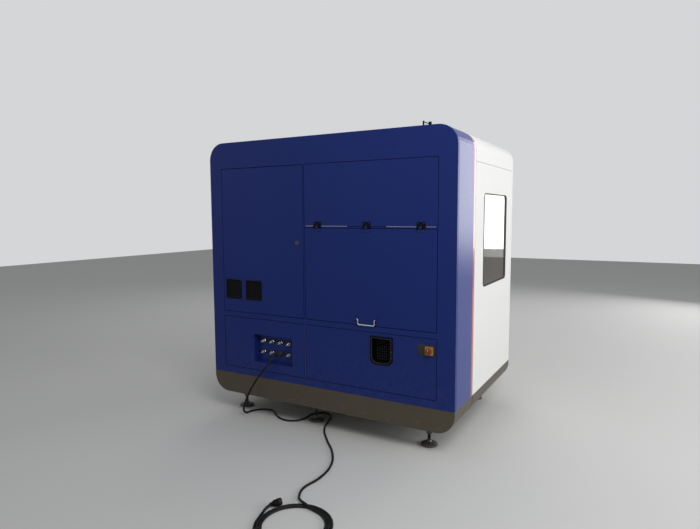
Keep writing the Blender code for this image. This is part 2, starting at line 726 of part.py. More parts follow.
def make_covers():
    """The bent sheets and flat panels that close the cabinet, with the bulkhead between its two sections."""
    base = BAND_TOP + SEAT_GAP
    stripe_end = SERVICE_BACK + STRIPE_WIDTH
    wrap = prism(arch_outline(base, SHEET), "Y", FACE_INNER + SEAT_GAP, SERVICE_BACK)
    stripe = prism(arch_outline(base, SHEET), "Y", SERVICE_BACK + SEAT_GAP, stripe_end)
    bulkhead = prism(cabinet_end(base, GROOVE_DEPTH), "Y", stripe_end + SEAT_GAP, MAIN_START - SEAT_GAP)
    duct_hole = prism(port_outline(SEAT_GAP), "Y", stripe_end - OVERRUN, MAIN_START + OVERRUN)
    arch = arch_outline(COVER_SEAM, SHEET)
    lap_out, lap_in = SHEET + SEAT_GAP, 2 * SHEET
    low, high = COVER_SEAM - COVER_LAP, COVER_SEAM + COVER_LAP
    joggle = [(lap_out, COVER_SEAM), (lap_out, low), (lap_in, low), (lap_in, high), (SHEET, high)]
    sheet_points = len(arch) // 2
    outer, inner = arch[:sheet_points], arch[sheet_points + 1:-1]
    left_joggle = [(LEFT + x, z) for x, z in joggle]
    right_joggle = [(RIGHT - x, z) for x, z in reversed(joggle)]
    roof = prism(outer + left_joggle + inner + right_joggle, "Y", MAIN_START, FASCIA_INNER - SEAT_GAP)
    side_top = COVER_SEAM - COVER_SEAM_LINE
    panel_low = (RIGHT - SHEET, MAIN_START, base)
    panel_high = (RIGHT, FASCIA_INNER - SEAT_GAP, side_top)
    window = rounded_outline(
        (WINDOW_MIDDLE - WINDOW_WIDTH / 2, WINDOW_LOW),
        (WINDOW_MIDDLE + WINDOW_WIDTH / 2, WINDOW_LOW + WINDOW_HEIGHT),
        (WINDOW_CORNER,) * 4,
    )
    opening = prism(window, "X", RIGHT - SHEET - OVERRUN, RIGHT + OVERRUN)
    left_low = (LEFT, MAIN_START, base)
    left_high = (LEFT + SHEET, FASCIA_INNER - SEAT_GAP, side_top)
    return [
        piece("service_wrap", blue_paint(), wrap, smooth=True),
        piece("accent_stripe", red_trim(), stripe, smooth=True),
        piece("bulkhead", grey_paint(), bulkhead, cut=[duct_hole]),
        piece("roof_cover", white_paint(), roof, smooth=True),
        piece("right_side_panel", white_paint(), box(panel_low, panel_high), cut=[opening]),
        piece("left_side_panel", white_paint(), box(left_low, left_high)),
    ]


def make_side_window():
    """The pane seated against the inside of the white side."""
    outline = rounded_outline(
        (WINDOW_MIDDLE - WINDOW_WIDTH / 2 - GLASS_LAP, WINDOW_LOW - GLASS_LAP),
        (WINDOW_MIDDLE + WINDOW_WIDTH / 2 + GLASS_LAP, WINDOW_LOW + WINDOW_HEIGHT + GLASS_LAP),
        (WINDOW_CORNER + GLASS_LAP,) * 4,
    )
    outer = RIGHT - SHEET - SEAT_GAP
    return piece("side_window", window_glass(), prism(outline, "X", outer - GLASS, outer))


def bay_box(across, up, depth_from, depth_to, grow=0.0):
    """A block through a bay of the service face or the fascia."""
    return box((across[0] - grow, depth_from, up[0] - grow), (across[1] + grow, depth_to, up[1] + grow))


def make_service_face():
    """The blue face: one welded frame whose five bays each have a rebate for a panel or a door."""
    base = prism(cabinet_end(BAND_TOP + SEAT_GAP), "Y", FACE_Y, FACE_INNER)
    plate_floor = FACE_Y + PANEL_SHEET + SEAT_GAP
    leaf_floor = FACE_Y + LEAF_DEPTH + RUNNING_GAP
    bays = [
        (RIGHT_BAY, UPPER_BAY, plate_floor),
        (RIGHT_BAY, LOW_BAYS, plate_floor),
        (LEFT_BAY, LOW_BAYS, plate_floor),
        (RIGHT_BAY, HATCH_BAY, leaf_floor), (LEFT_BAY, SERVICE_DOOR_BAY, leaf_floor),
    ]
    rebates = [bay_box(across, up, FACE_Y - OVERRUN, floor) for across, up, floor in bays]
    through = [bay_box(across, up, FACE_Y - OVERRUN, FACE_INNER + OVERRUN, -REBATE) for across, up, _ in bays]
    pivots = merged(*[
        rod(PIVOT_RADIUS + PIN_CLEARANCE, (SERVICE_PIVOT[0], SERVICE_PIVOT[1], low), (*SERVICE_PIVOT, high))
        for low, high in (
            (SERVICE_DOOR_BAY[0] - PIVOT_LENGTH, SERVICE_DOOR_BAY[0] + SEAM_GAP),
            (SERVICE_DOOR_BAY[1] - SEAM_GAP, SERVICE_DOOR_BAY[1] + PIVOT_LENGTH),
        )
    ])
    return piece("service_face", blue_paint(), base, cut=[merged(*rebates), merged(*through), pivots])


def leaf(across, up, outer, inward):
    """A door leaf folded from sheet: its face, its returned edges and the open back between them."""
    low = (across[0] + SEAM_GAP, min(outer, outer + inward * LEAF_DEPTH), up[0] + SEAM_GAP)
    high = (across[1] - SEAM_GAP, max(outer, outer + inward * LEAF_DEPTH), up[1] - SEAM_GAP)
    skin, back = outer + inward * LEAF_WALL, outer + inward * (LEAF_DEPTH + OVERRUN)
    hollow = box(
        (low[0] + LEAF_RETURN, min(skin, back), low[2] + LEAF_RETURN),
        (high[0] - LEAF_RETURN, max(skin, back), high[2] - LEAF_RETURN),
    )
    return box(low, high), hollow


def make_fixed_panels():
    """The screwed panels above and below the hatch."""
    upper = bay_box(RIGHT_BAY, UPPER_BAY, FACE_Y, FACE_Y + PANEL_SHEET, -SEAM_LINE)
    lower = bay_box(RIGHT_BAY, LOW_BAYS, FACE_Y, FACE_Y + PANEL_SHEET, -SEAM_LINE)
    duct = prism(port_outline(SEAT_GAP), "Y", FACE_Y - OVERRUN, FACE_Y + OVERRUN)
    return [
        piece("upper_panel", blue_paint(), upper),
        piece("lower_panel", blue_paint(), lower, cut=[duct]),
    ]


def make_hatch_hinges():
    """Three hinges above the hatch: a leaf screwed over the upper panel, its knuckle and its pin."""
    hinges = []
    third = HINGE_WIDTH / 3
    leaf_face = FACE_Y - SEAT_GAP
    for number, x in enumerate(HINGE_PLACES, 1):
        plate_low = HATCH_AXIS[1] + HINGE_KNUCKLE_RADIUS + SEAT_GAP
        plate = box(
            (x - HINGE_WIDTH / 2, leaf_face - HINGE_LEAF, plate_low),
            (x + HINGE_WIDTH / 2, leaf_face, plate_low + HINGE_LEAF_HEIGHT),
        )
        ends = [
            rod(HINGE_KNUCKLE_RADIUS, (x + a, *HATCH_AXIS), (x + b, *HATCH_AXIS))
            for a, b in ((-HINGE_WIDTH / 2, -third / 2 - SEAT_GAP), (third / 2 + SEAT_GAP, HINGE_WIDTH / 2))
        ]
        webs = [
            box(
                (x + a + SEAT_GAP, leaf_face - HINGE_LEAF, HATCH_AXIS[1]),
                (x + b - SEAT_GAP, leaf_face, plate_low + HINGE_LEAF),
            )
            for a, b in ((-HINGE_WIDTH / 2, -third / 2 - SEAT_GAP), (third / 2 + SEAT_GAP, HINGE_WIDTH / 2))
        ]
        pin = rod(HINGE_PIN_RADIUS, (x - third, *HATCH_AXIS), (x + third, *HATCH_AXIS))
        hinges.append(
            piece(f"hatch_hinge_{number}", black_plastic(), plate, add=[merged(*webs), merged(*ends), pin])
        )
    return hinges


def make_hatch():
    """The top-hinged hatch with its middle knuckles and the two ears of its handle."""
    base, hollow = leaf(RIGHT_BAY, HATCH_BAY, FACE_Y, 1)
    third = HINGE_WIDTH / 3
    leaf_low = HATCH_AXIS[1] - HINGE_KNUCKLE_RADIUS / 2 - HINGE_LEAF_HEIGHT
    plates, knuckles, bores = [], [], []
    for x in HINGE_PLACES:
        plates.append(box(
            (x - HINGE_WIDTH / 2, FACE_Y - HINGE_LEAF, leaf_low),
            (x + HINGE_WIDTH / 2, FACE_Y + LEAF_WALL / 2, HATCH_BAY[1] - SEAM_GAP - SEAT_GAP),
        ))
        plates.append(box(
            (x - third / 2 + SEAT_GAP, FACE_Y - HINGE_LEAF, HATCH_BAY[1] - SEAM_GAP - SEAT_GAP),
            (x + third / 2 - SEAT_GAP, FACE_Y - SEAT_GAP, HATCH_AXIS[1]),
        ))
        knuckles.append(rod(HINGE_KNUCKLE_RADIUS, (x - third / 2, *HATCH_AXIS), (x + third / 2, *HATCH_AXIS)))
        bore_radius = HINGE_PIN_RADIUS + PIN_CLEARANCE
        bores.append(rod(bore_radius, (x - third, *HATCH_AXIS), (x + third, *HATCH_AXIS)))
    ears, ear_bores = [], []
    for side in (-1, 1):
        x = HANDLE_X + side * (HANDLE_WIDTH / 2 + HANDLE_LUG / 2)
        ears.append(box(
            (x - HANDLE_LUG / 2, HANDLE_AXIS[0] - HANDLE_LUG / 2, HANDLE_AXIS[1] - HANDLE_LUG / 2),
            (x + HANDLE_LUG / 2, FACE_Y + LEAF_WALL / 2, HANDLE_AXIS[1] + HANDLE_LUG / 2),
        ))
        bore = HANDLE_BAR_RADIUS + PIN_CLEARANCE
        ear_bores.append(rod(bore, (x - HANDLE_LUG, *HANDLE_AXIS), (x + HANDLE_LUG, *HANDLE_AXIS)))
    return piece(
        "hatch", blue_paint(), base,
        add=[merged(*plates[::2]), merged(*plates[1::2]), merged(*knuckles), merged(*ears)],
        cut=[hollow, merged(*bores), merged(*ear_bores)], origin=(HANDLE_X, *HATCH_AXIS),
    )


def make_hatch_handle():
    """The chrome drop handle: a bar bent twice, whose ends turn in the hatch's ears."""
    half = HANDLE_WIDTH / 2
    tip = half + HANDLE_LUG - PIN_CLEARANCE
    inner = half - 2 * HANDLE_BAR_RADIUS
    corners = [
        (-tip, 0, 0), (-inner, 0, 0), (-inner, 0, -HANDLE_DROP),
        (inner, 0, -HANDLE_DROP), (inner, 0, 0), (tip, 0, 0),
    ]
    path = rounded_path(corners, HANDLE_BEND, ARC_STEPS // 2)
    handle = bar_curve("hatch_handle", path, HANDLE_BAR_RADIUS, bright_metal())
    handle.location = (HANDLE_X, *HANDLE_AXIS)
    return handle


def make_service_door():
    """The upper left door: a folded leaf on two pivots, with holes for its fans and its lock."""
    base, hollow = leaf(LEFT_BAY, SERVICE_DOOR_BAY, FACE_Y, 1)
    pins = merged(*[
        rod(PIVOT_RADIUS, (*SERVICE_PIVOT, low), (*SERVICE_PIVOT, high))
        for low, high in (
            (SERVICE_DOOR_BAY[0] - PIVOT_LENGTH + SEAT_GAP, SERVICE_DOOR_BAY[0] + PIVOT_LENGTH),
            (SERVICE_DOOR_BAY[1] - PIVOT_LENGTH, SERVICE_DOOR_BAY[1] + PIVOT_LENGTH - SEAT_GAP),
        )
    ])
    fan_half = FAN_SIZE / 2 - FAN_FLANGE + SEAT_GAP
    fan_holes = merged(*[
        box((x - fan_half, FACE_Y - OVERRUN, FAN_Z - fan_half), (x + fan_half, FACE_INNER, FAN_Z + fan_half))
        for x in FAN_PLACES
    ])
    barrel = rod(
        LOCK_BARREL_RADIUS + PIN_CLEARANCE, (LOCK_X, FACE_Y - OVERRUN, LOCK_Z), (LOCK_X, FACE_INNER, LOCK_Z)
    )
    return piece(
        "service_door", blue_paint(), base, add=[pins], cut=[hollow, fan_holes, barrel],
        origin=(*SERVICE_PIVOT, FAN_Z),
    )


def make_door_lock():
    """The quarter-turn lock: a slotted head outside the door, its barrel and its cam behind the leaf."""
    back = FACE_INNER + SEAT_GAP
    head_ends = (FACE_Y - SHEET, FACE_Y - SEAT_GAP)
    head = rod(LOCK_RADIUS, (LOCK_X, head_ends[0], LOCK_Z), (LOCK_X, head_ends[1], LOCK_Z), ROUND_SIDES)
    barrel_ends = (FACE_Y - SHEET / 2, back + LOCK_CAM / 2)
    barrel = rod(LOCK_BARREL_RADIUS, (LOCK_X, barrel_ends[0], LOCK_Z), (LOCK_X, barrel_ends[1], LOCK_Z))
    cam = box(
        (LOCK_X - LOCK_BARREL_RADIUS, back, LOCK_Z - LOCK_CAM_LENGTH),
        (LOCK_X + LOCK_BARREL_RADIUS, back + LOCK_CAM, LOCK_Z + LOCK_BARREL_RADIUS),
    )
    slot = box(
        (LOCK_X - LOCK_SLOT / 2, FACE_Y - SHEET - OVERRUN, LOCK_Z - LOCK_BARREL_RADIUS),
        (LOCK_X + LOCK_SLOT / 2, FACE_Y - SHEET + LOCK_SLOT / 2, LOCK_Z + LOCK_BARREL_RADIUS),
    )
    middle = (LOCK_X, FACE_Y, LOCK_Z)
    return piece("door_lock", bright_metal(), head, add=[barrel, cam], cut=[slot], origin=middle)


def make_fans():
    """Two filter fans: a louvred grille that clips in the door and carries the axle, with a bladed rotor."""
    made = []
    half, inside = FAN_SIZE / 2, FAN_SIZE / 2 - FAN_FLANGE
    front = FACE_Y - SEAT_GAP
    for number, x in enumerate(FAN_PLACES, 1):
        flange = box((x - half, front - SHEET, FAN_Z - half), (x + half, front, FAN_Z + half))
        body = box(
            (x - inside, front - SHEET / 2, FAN_Z - inside),
            (x + inside, FACE_Y + FAN_DEPTH, FAN_Z + inside),
        )
        clear = inside - FAN_WALL
        well = box(
            (x - clear, front - SHEET - OVERRUN, FAN_Z - clear),
            (x + clear, FACE_Y + FAN_DEPTH + OVERRUN, FAN_Z + clear),
        )
        pitch = 2 * clear / FAN_SLATS
        slats = []
        for i in range(FAN_SLATS):
            z = FAN_Z - clear + pitch * (i + 1 / 2)
            drop = pitch / 2
            outline = [
                (front - SHEET, z - drop), (front - SHEET + FAN_SLAT, z - drop),
                (front + FAN_SLAT, z + drop / 2), (front, z + drop / 2),
            ]
            slats.append(prism(outline, "X", x - clear - FAN_WALL / 2, x + clear + FAN_WALL / 2))
        spider_y = (FACE_Y + FAN_DEPTH - SHEET, FACE_Y + FAN_DEPTH)
        arm = FAN_AXLE_RADIUS * 2
        spider = box(
            (x - clear - FAN_WALL / 2, spider_y[0], FAN_Z - arm),
            (x + clear + FAN_WALL / 2, spider_y[1], FAN_Z + arm),
        )
        axle_ends = (spider_y[0] - FAN_ROTOR_DEPTH, spider_y[1] - SHEET / 2)
        axle = rod(FAN_AXLE_RADIUS, (x, axle_ends[0], FAN_Z), (x, axle_ends[1], FAN_Z))
        made.append(piece(
            f"fan_grille_{number}", black_plastic(), flange, add=[body], cut=[well],
        ))
        grille = made[-1]
        for label, shape in (("slats", merged(*slats)), ("spider", spider), ("axle", axle)):
            joined = grille.modifiers.new(label, "BOOLEAN")
            joined.operation, joined.solver = "UNION", "EXACT"
            joined.object = tool_object(f"fan_grille_{number}_{label}", shape)
        back = spider_y[0] - SEAT_GAP
        hub_front = back - FAN_ROTOR_DEPTH - SHEET
        hub = rod(FAN_HUB_RADIUS, (x, hub_front, FAN_Z), (x, back, FAN_Z), ROUND_SIDES)
        bore = rod(
            FAN_AXLE_RADIUS + PIN_CLEARANCE,
            (x, back - FAN_ROTOR_DEPTH - PIN_CLEARANCE, FAN_Z),
            (x, back + OVERRUN, FAN_Z),
        )
        tip = clear - RUNNING_GAP
        blades = []
        for i in range(FAN_BLADES):
            blade = box(
                (FAN_HUB_RADIUS * BLADE_ROOT_SHARE, -FAN_BLADE_THICKNESS / 2, -FAN_BLADE_CHORD / 2),
                (tip, FAN_BLADE_THICKNESS / 2, FAN_BLADE_CHORD / 2),
            )
            blade.transform(Matrix.Rotation(math.radians(FAN_BLADE_PITCH), 4, "X"))
            blade.transform(Matrix.Rotation(2 * math.pi * i / FAN_BLADES, 4, "Y"))
            blade.transform(Matrix.Translation((x, (hub_front + back) / 2, FAN_Z)))
            blades.append(blade)
        made.append(piece(
            f"fan_rotor_{number}", black_plastic(), hub, add=[merged(*blades)], cut=[bore],
            origin=(x, back, FAN_Z),
        ))
    return made


def hexagon(x, z, radius):
    """A hexagon's corners."""
    turns = [math.tau * i / 6 for i in range(6)]
    return [(x + radius * math.cos(turn), z + radius * math.sin(turn)) for turn in turns]


def make_connection_panel():
    """The lower left panel with its deep recess, and two strips of bulkhead couplings in it."""
    panel = bay_box(LEFT_BAY, LOW_BAYS, FACE_Y, FACE_Y + PANEL_SHEET, -SEAM_LINE)
    low = (RECESS_X, FACE_Y + PANEL_SHEET / 2, RECESS_Z)
    high = (RECESS_X + RECESS_WIDTH, FACE_Y + RECESS_DEPTH, RECESS_Z + RECESS_HEIGHT)
    grow = Vector((SHEET, 0, SHEET))
    tray = box(Vector(low) - grow, Vector(high) + grow + Vector((0, SHEET, 0)))
    well = box((low[0], FACE_Y - OVERRUN, low[2]), high)
    made = [piece("connection_panel", blue_paint(), panel, add=[tray], cut=[well])]
    floor = FACE_Y + RECESS_DEPTH
    for label, row in (("lower", 0), ("upper", 1)):
        z = RECESS_Z + COUPLING_ROW_LOW + COUPLING_ROW_PITCH * row
        strip = box(
            (RECESS_X + RUNNING_GAP, floor - SEAT_GAP - COUPLING_STRIP_SHEET, z - COUPLING_STRIP / 2),
            (RECESS_X + RECESS_WIDTH - RUNNING_GAP, floor - SEAT_GAP, z + COUPLING_STRIP / 2),
        )
        root = floor - SEAT_GAP - COUPLING_STRIP_SHEET / 2
        nuts, bodies = [], []
        for i in range(COUPLING_COUNT):
            x = RECESS_X + COUPLING_FIRST + COUPLING_PITCH * i
            if (row, i) == LEAD_PLACE:
                continue
            face = root - COUPLING_HEX_DEPTH
            nuts.append(prism(hexagon(x, z, COUPLING_HEX), "Y", face, root))
            neck = COUPLING_BODY_DEPTH + SHEET
            profile = [
                (0, 0), (COUPLING_BODY_RADIUS, 0), (COUPLING_BODY_RADIUS, neck),
                (COUPLING_TIP_RADIUS, neck), (COUPLING_TIP_RADIUS, neck + COUPLING_TIP_DEPTH),
                (0, neck + COUPLING_TIP_DEPTH),
            ]
            bodies.append(turned(profile, (x, face + SHEET, z), (0, -1, 0), SMALL_ROUND_SIDES))
        made.append(piece(
            f"coupling_row_{label}", bright_metal(), strip, add=[merged(*nuts), merged(*bodies)], smooth=False
        ))
    return made


def port_outline(grow=0.0):
    """The exhaust port's outline: flat on top, with large rounded lower corners."""
    half = PORT_WIDTH / 2 + grow
    low, high = PORT_Z - grow, PORT_Z + PORT_HEIGHT + grow
    corners = (PORT_CORNER, PORT_CORNER, 0, 0)
    return rounded_outline((PORT_X - half, low), (PORT_X + half, high), corners, ARC_STEPS // 2)


def make_exhaust_port():
    """The extraction outlet: a flange outside the lower panel and a duct back to the bed's plenum."""
    front = FACE_Y - SEAT_GAP
    flange = prism(port_outline(PORT_FLANGE), "Y", front - PORT_STAND, front)
    duct = prism(port_outline(), "Y", front - PORT_STAND / 2, BED_BACK - SEAT_GAP)
    bore = prism(port_outline(-PORT_WALL), "Y", front - PORT_STAND - OVERRUN, BED_BACK + OVERRUN)
    return piece("exhaust_port", black_plastic(), flange, add=[duct], cut=[bore])


def make_main_switch():
    """The main switch: a screwed plate with its raised block, and the knob that turns in it."""
    front = FACE_Y - SEAT_GAP
    block_front = front - SWITCH_SHEET - SWITCH_BLOCK_DEPTH
    plate = box(
        (SWITCH_X - SWITCH_WIDTH / 2, front - SWITCH_SHEET, SWITCH_Z - SWITCH_TALL / 2),
        (SWITCH_X + SWITCH_WIDTH / 2, front, SWITCH_Z + SWITCH_TALL / 2),
    )
    half = SWITCH_BLOCK / 2
    block = box(
        (KNOB_X - half, block_front, SWITCH_Z - half),
        (KNOB_X + half, front - SWITCH_SHEET / 2, SWITCH_Z + half),
    )
    shaft_end = block_front + SWITCH_BLOCK_DEPTH / 2
    bore = rod(
        SWITCH_SHAFT_RADIUS + PIN_CLEARANCE,
        (KNOB_X, block_front - OVERRUN, SWITCH_Z),
        (KNOB_X, shaft_end + SEAT_GAP, SWITCH_Z),
    )
    knob_back = block_front - SEAT_GAP
    knob_front = knob_back - SWITCH_KNOB_DEPTH
    disc = rod(SWITCH_KNOB_RADIUS, (KNOB_X, knob_front, SWITCH_Z), (KNOB_X, knob_back, SWITCH_Z), ROUND_SIDES)
    grip = box(
        (KNOB_X - SWITCH_GRIP / 2, knob_front - SWITCH_GRIP_DEPTH, SWITCH_Z - SWITCH_KNOB_RADIUS),
        (KNOB_X + SWITCH_GRIP / 2, knob_front + SHEET, SWITCH_Z + SWITCH_KNOB_RADIUS),
    )
    shaft = rod(SWITCH_SHAFT_RADIUS, (KNOB_X, knob_front + SHEET, SWITCH_Z), (KNOB_X, shaft_end, SWITCH_Z))
    return [
        piece("switch_plate", black_plastic(), plate, add=[block], cut=[bore]),
        piece("switch_knob", red_plastic(), disc, add=[grip, shaft], origin=(KNOB_X, knob_back, SWITCH_Z)),
    ]


def make_lamp_socket():
    """The roof fitting for a signal lamp: a small base, its socket and the cap on a short strap."""
    base = CABINET_TOP + SEAT_GAP
    y = FACE_Y + SOCKET_INSET
    plate = box(
        (SOCKET_X - SOCKET_SPAN, y - SOCKET_CAP_RADIUS, base),
        (SOCKET_X + SOCKET_SPAN, y + SOCKET_CAP_RADIUS, base + SOCKET_PLATE),
    )
    left, right = SOCKET_X - SOCKET_SPAN * 2 / 3, SOCKET_X + SOCKET_SPAN * 2 / 3
    top = base + SOCKET_POST_HEIGHT
    post = rod(SOCKET_POST_RADIUS, (left, y, base + SOCKET_PLATE / 2), (left, y, top))
    cap = rod(SOCKET_CAP_RADIUS, (right, y, base + SOCKET_PLATE / 2), (right, y, top - SOCKET_CAP_RADIUS))
    strap = rod(
        SOCKET_POST_RADIUS / 2,
        (left, y, top - SOCKET_POST_RADIUS),
        (right, y, base + SOCKET_POST_HEIGHT / 3),
        STRAP_SIDES,
    )
    return piece("lamp_socket", black_plastic(), plate, add=[merged(post, cap), strap], smooth=False)


def make_front_fascia():
    """The operator's side: one frame with the doorway, the console's cut-out and the drawer's opening."""
    base = prism(cabinet_end(BAND_TOP + SEAT_GAP), "Y", FASCIA_INNER, FRONT_Y)
    door_floor = FRONT_Y - LEAF_DEPTH - RUNNING_GAP
    drawer_floor = FRONT_Y - DRAWER_FRONT - SEAT_GAP
    rebates = merged(
        bay_box(DOORWAY, DOORWAY_UP, door_floor, FRONT_Y + OVERRUN),
        bay_box(DRAWER_ACROSS, DRAWER_UP, drawer_floor, FRONT_Y + OVERRUN, DRAWER_FRONT_MARGIN),
    )
    through = merged(
        bay_box(DOORWAY, DOORWAY_UP, FASCIA_INNER - OVERRUN, FRONT_Y + OVERRUN, -REBATE),
        bay_box(DRAWER_ACROSS, DRAWER_UP, FASCIA_INNER - OVERRUN, FRONT_Y + OVERRUN, RUNNING_GAP),
        bay_box(CONSOLE_ACROSS, CONSOLE_UP, FASCIA_INNER - OVERRUN, FRONT_Y + OVERRUN, SEAT_GAP),
    )
    pivots = merged(*[
        rod(PIVOT_RADIUS + PIN_CLEARANCE, (*pivot, low), (*pivot, high))
        for pivot in FRONT_PIVOTS
        for low, high in (
            (DOORWAY_UP[0] - PIVOT_LENGTH, DOORWAY_UP[0] + SEAM_GAP),
            (DOORWAY_UP[1] - SEAM_GAP, DOORWAY_UP[1] + PIVOT_LENGTH),
        )
    ])
    return piece("front_fascia", white_paint(), base, cut=[rebates, through, pivots])


def make_front_doors():
    """Two hinged doors with large panes and upright pulls, which meet in the middle of the doorway."""
    middle = (DOORWAY[0] + DOORWAY[1]) / 2
    made = []
    halves = (("left", (DOORWAY[0], middle), 1), ("right", (middle, DOORWAY[1]), -1))
    for (label, across, side), pivot in zip(halves, FRONT_PIVOTS):
        base, hollow = leaf(across, DOORWAY_UP, FRONT_Y, -1)
        pane_across = (across[0] + DOOR_WINDOW_MARGIN, across[1] - DOOR_WINDOW_MARGIN)
        pane_up = (DOORWAY_UP[0] + DOOR_WINDOW_MARGIN, DOORWAY_UP[1] - DOOR_WINDOW_MARGIN)
        outline = rounded_outline(
            (pane_across[0], pane_up[0]), (pane_across[1], pane_up[1]), (WINDOW_CORNER,) * 4, ARC_STEPS // 2
        )
        opening = prism(outline, "Y", FRONT_Y - LEAF_DEPTH - OVERRUN, FRONT_Y + OVERRUN)
        pins = merged(*[
            rod(PIVOT_RADIUS, (*pivot, low), (*pivot, high))
            for low, high in (
                (DOORWAY_UP[0] - PIVOT_LENGTH + SEAT_GAP, DOORWAY_UP[0] + PIVOT_LENGTH),
                (DOORWAY_UP[1] - PIVOT_LENGTH, DOORWAY_UP[1] + PIVOT_LENGTH - SEAT_GAP),
            )
        ])
        pull_x = (across[1] if side > 0 else across[0]) - side * DOOR_PULL_EDGE
        pull_z = (DOORWAY_UP[0] + DOORWAY_UP[1]) / 2
        low, high = pull_z - DOOR_PULL_HEIGHT / 2, pull_z + DOOR_PULL_HEIGHT / 2
        bar_y = FRONT_Y + DOOR_PULL_REACH
        bar_ends = (low - DOOR_PULL_EDGE / 2, high + DOOR_PULL_EDGE / 2)
        bar = rod(DOOR_PULL_RADIUS, (pull_x, bar_y, bar_ends[0]), (pull_x, bar_y, bar_ends[1]))
        posts = merged(*[
            rod(DOOR_PULL_RADIUS * PULL_STEM_SHARE, (pull_x, FRONT_Y - LEAF_WALL / 2, z), (pull_x, bar_y, z))
            for z in (low, high)
        ])
        made.append(piece(
            f"front_door_{label}", white_paint(), base, add=[pins, bar, posts], cut=[hollow, opening],
            origin=(*pivot, pull_z),
        ))
        back = FRONT_Y - LEAF_WALL - SEAT_GAP
        pane = bay_box(pane_across, pane_up, back - GLASS, back, GLASS_LAP)
        made.append(piece(f"front_glass_{label}", window_glass(), pane))
        carried(made[-1], made[-2])
    return made


def make_console():
    """The operator's console sunk in the fascia, with its screen and push buttons."""
    front = FRONT_Y + CONSOLE_STAND
    body = bay_box(CONSOLE_ACROSS, CONSOLE_UP, front - CONSOLE_DEPTH, front)
    middle = (CONSOLE_ACROSS[0] + CONSOLE_ACROSS[1]) / 2
    across = (middle - SCREEN_WIDTH / 2, middle + SCREEN_WIDTH / 2)
    up = (CONSOLE_UP[1] - SCREEN_TOP_MARGIN - SCREEN_HEIGHT, CONSOLE_UP[1] - SCREEN_TOP_MARGIN)
    recess = bay_box(across, up, front - SCREEN_SINK, front + OVERRUN)
    row = CONSOLE_UP[0] + BUTTON_ROW_RISE
    seats = []
    places = (
        ("e_stop_button", -1, ESTOP_NECK_RADIUS),
        ("stop_button", 0, BUTTON_RADIUS),
        ("start_button", 1, BUTTON_RADIUS),
    )
    for name, step, radius in places:
        x = middle + step * BUTTON_PITCH
        seats.append(
            rod(radius + PIN_CLEARANCE, (x, front - BUTTON_WELL, row), (x, front + OVERRUN, row), ROUND_SIDES)
        )
    made = [piece("operator_console", grey_paint(), body, cut=[recess, merged(*seats)])]
    pane = bay_box(across, up, front - SCREEN_SINK + SEAT_GAP, front - SEAT_GAP, -SEAT_GAP)
    made.append(piece("console_screen", screen_glass(), pane))
    root = front - BUTTON_WELL + BUTTON_TRAVEL + SEAT_GAP
    for name, step, radius in places:
        x = middle + step * BUTTON_PITCH
        if name == "e_stop_button":
            neck = ESTOP_NECK + BUTTON_WELL - BUTTON_TRAVEL
            profile = [
                (0, 0), (radius, 0), (radius, neck), (ESTOP_RADIUS, neck),
                (ESTOP_RADIUS, neck + ESTOP_HEAD * 2 / 3),
                (ESTOP_RADIUS * ESTOP_CROWN_SHARE, neck + ESTOP_HEAD), (0, neck + ESTOP_HEAD),
            ]
            finish_of, sides = red_plastic(), ROUND_SIDES
        else:
            tall = BUTTON_WELL - BUTTON_TRAVEL + BUTTON_SEAT
            profile = [(0, 0), (radius, 0), (radius, tall), (0, tall)]
            finish_of = green_plastic() if name == "start_button" else red_plastic()
            sides = SMALL_ROUND_SIDES
        shape = turned(profile, (x, root, row), (0, 1, 0), sides)
        made.append(piece(name, finish_of, shape, origin=(x, front, row)))
    return made


def make_bed():
    """The welded bed: a floor, two tubular walls and a back plate, with ledges for the table and drawer."""
    top = BAND_TOP + SEAT_GAP + BED_HEIGHT
    base = box((-BED_LENGTH / 2, BED_BACK, BAND_TOP + SEAT_GAP), (BED_LENGTH / 2, BED_FRONT, top))
    inner = BED_LENGTH / 2 - BED_WALL
    tunnel = box(
        (-inner, BED_BACK + BED_BACK_WALL, BAND_TOP + SEAT_GAP + BED_FLOOR),
        (inner, BED_FRONT + OVERRUN, top + OVERRUN),
    )
    plenum = prism(port_outline(), "Y", BED_BACK - OVERRUN, BED_BACK + BED_BACK_WALL + OVERRUN)
    ledges = []
    for side in (-1, 1):
        for shelf_top, reach, thickness in (
            (TABLE_BASE - SEAT_GAP, TABLE_FRAME, TABLE_SHELF),
            (DRAWER_UP[0] - SEAT_GAP, inner - DRAWER_WIDTH / 2 + TABLE_FRAME, TABLE_SHELF),
        ):
            near, far = side * (inner - reach), side * (inner + BED_TUBE_WALL / 2)
            ledges.append(box(
                (min(near, far), BED_BACK + BED_BACK_WALL / 2, shelf_top - thickness),
                (max(near, far), BED_FRONT, shelf_top),
            ))
    bore_near, bore_far = inner + BED_TUBE_WALL, inner + BED_WALL - BED_TUBE_WALL
    tubes = merged(*[
        box(
            (min(side * bore_near, side * bore_far), BED_BACK - OVERRUN, BAND_TOP + SEAT_GAP + BED_TUBE_WALL),
            (max(side * bore_near, side * bore_far), BED_FRONT + OVERRUN,
             top - BED_TUBE_WALL),
        )
        for side in (-1, 1)
    ])
    bed = piece("machine_bed", bed_paint(), base, cut=[tunnel, tubes, plenum])
    for number, ledge in enumerate(ledges):
        joined = bed.modifiers.new(f"ledge_{number}", "BOOLEAN")
        joined.operation, joined.solver = "UNION", "EXACT"
        joined.object = tool_object(f"machine_bed_ledge_{number}", ledge)
    return bed


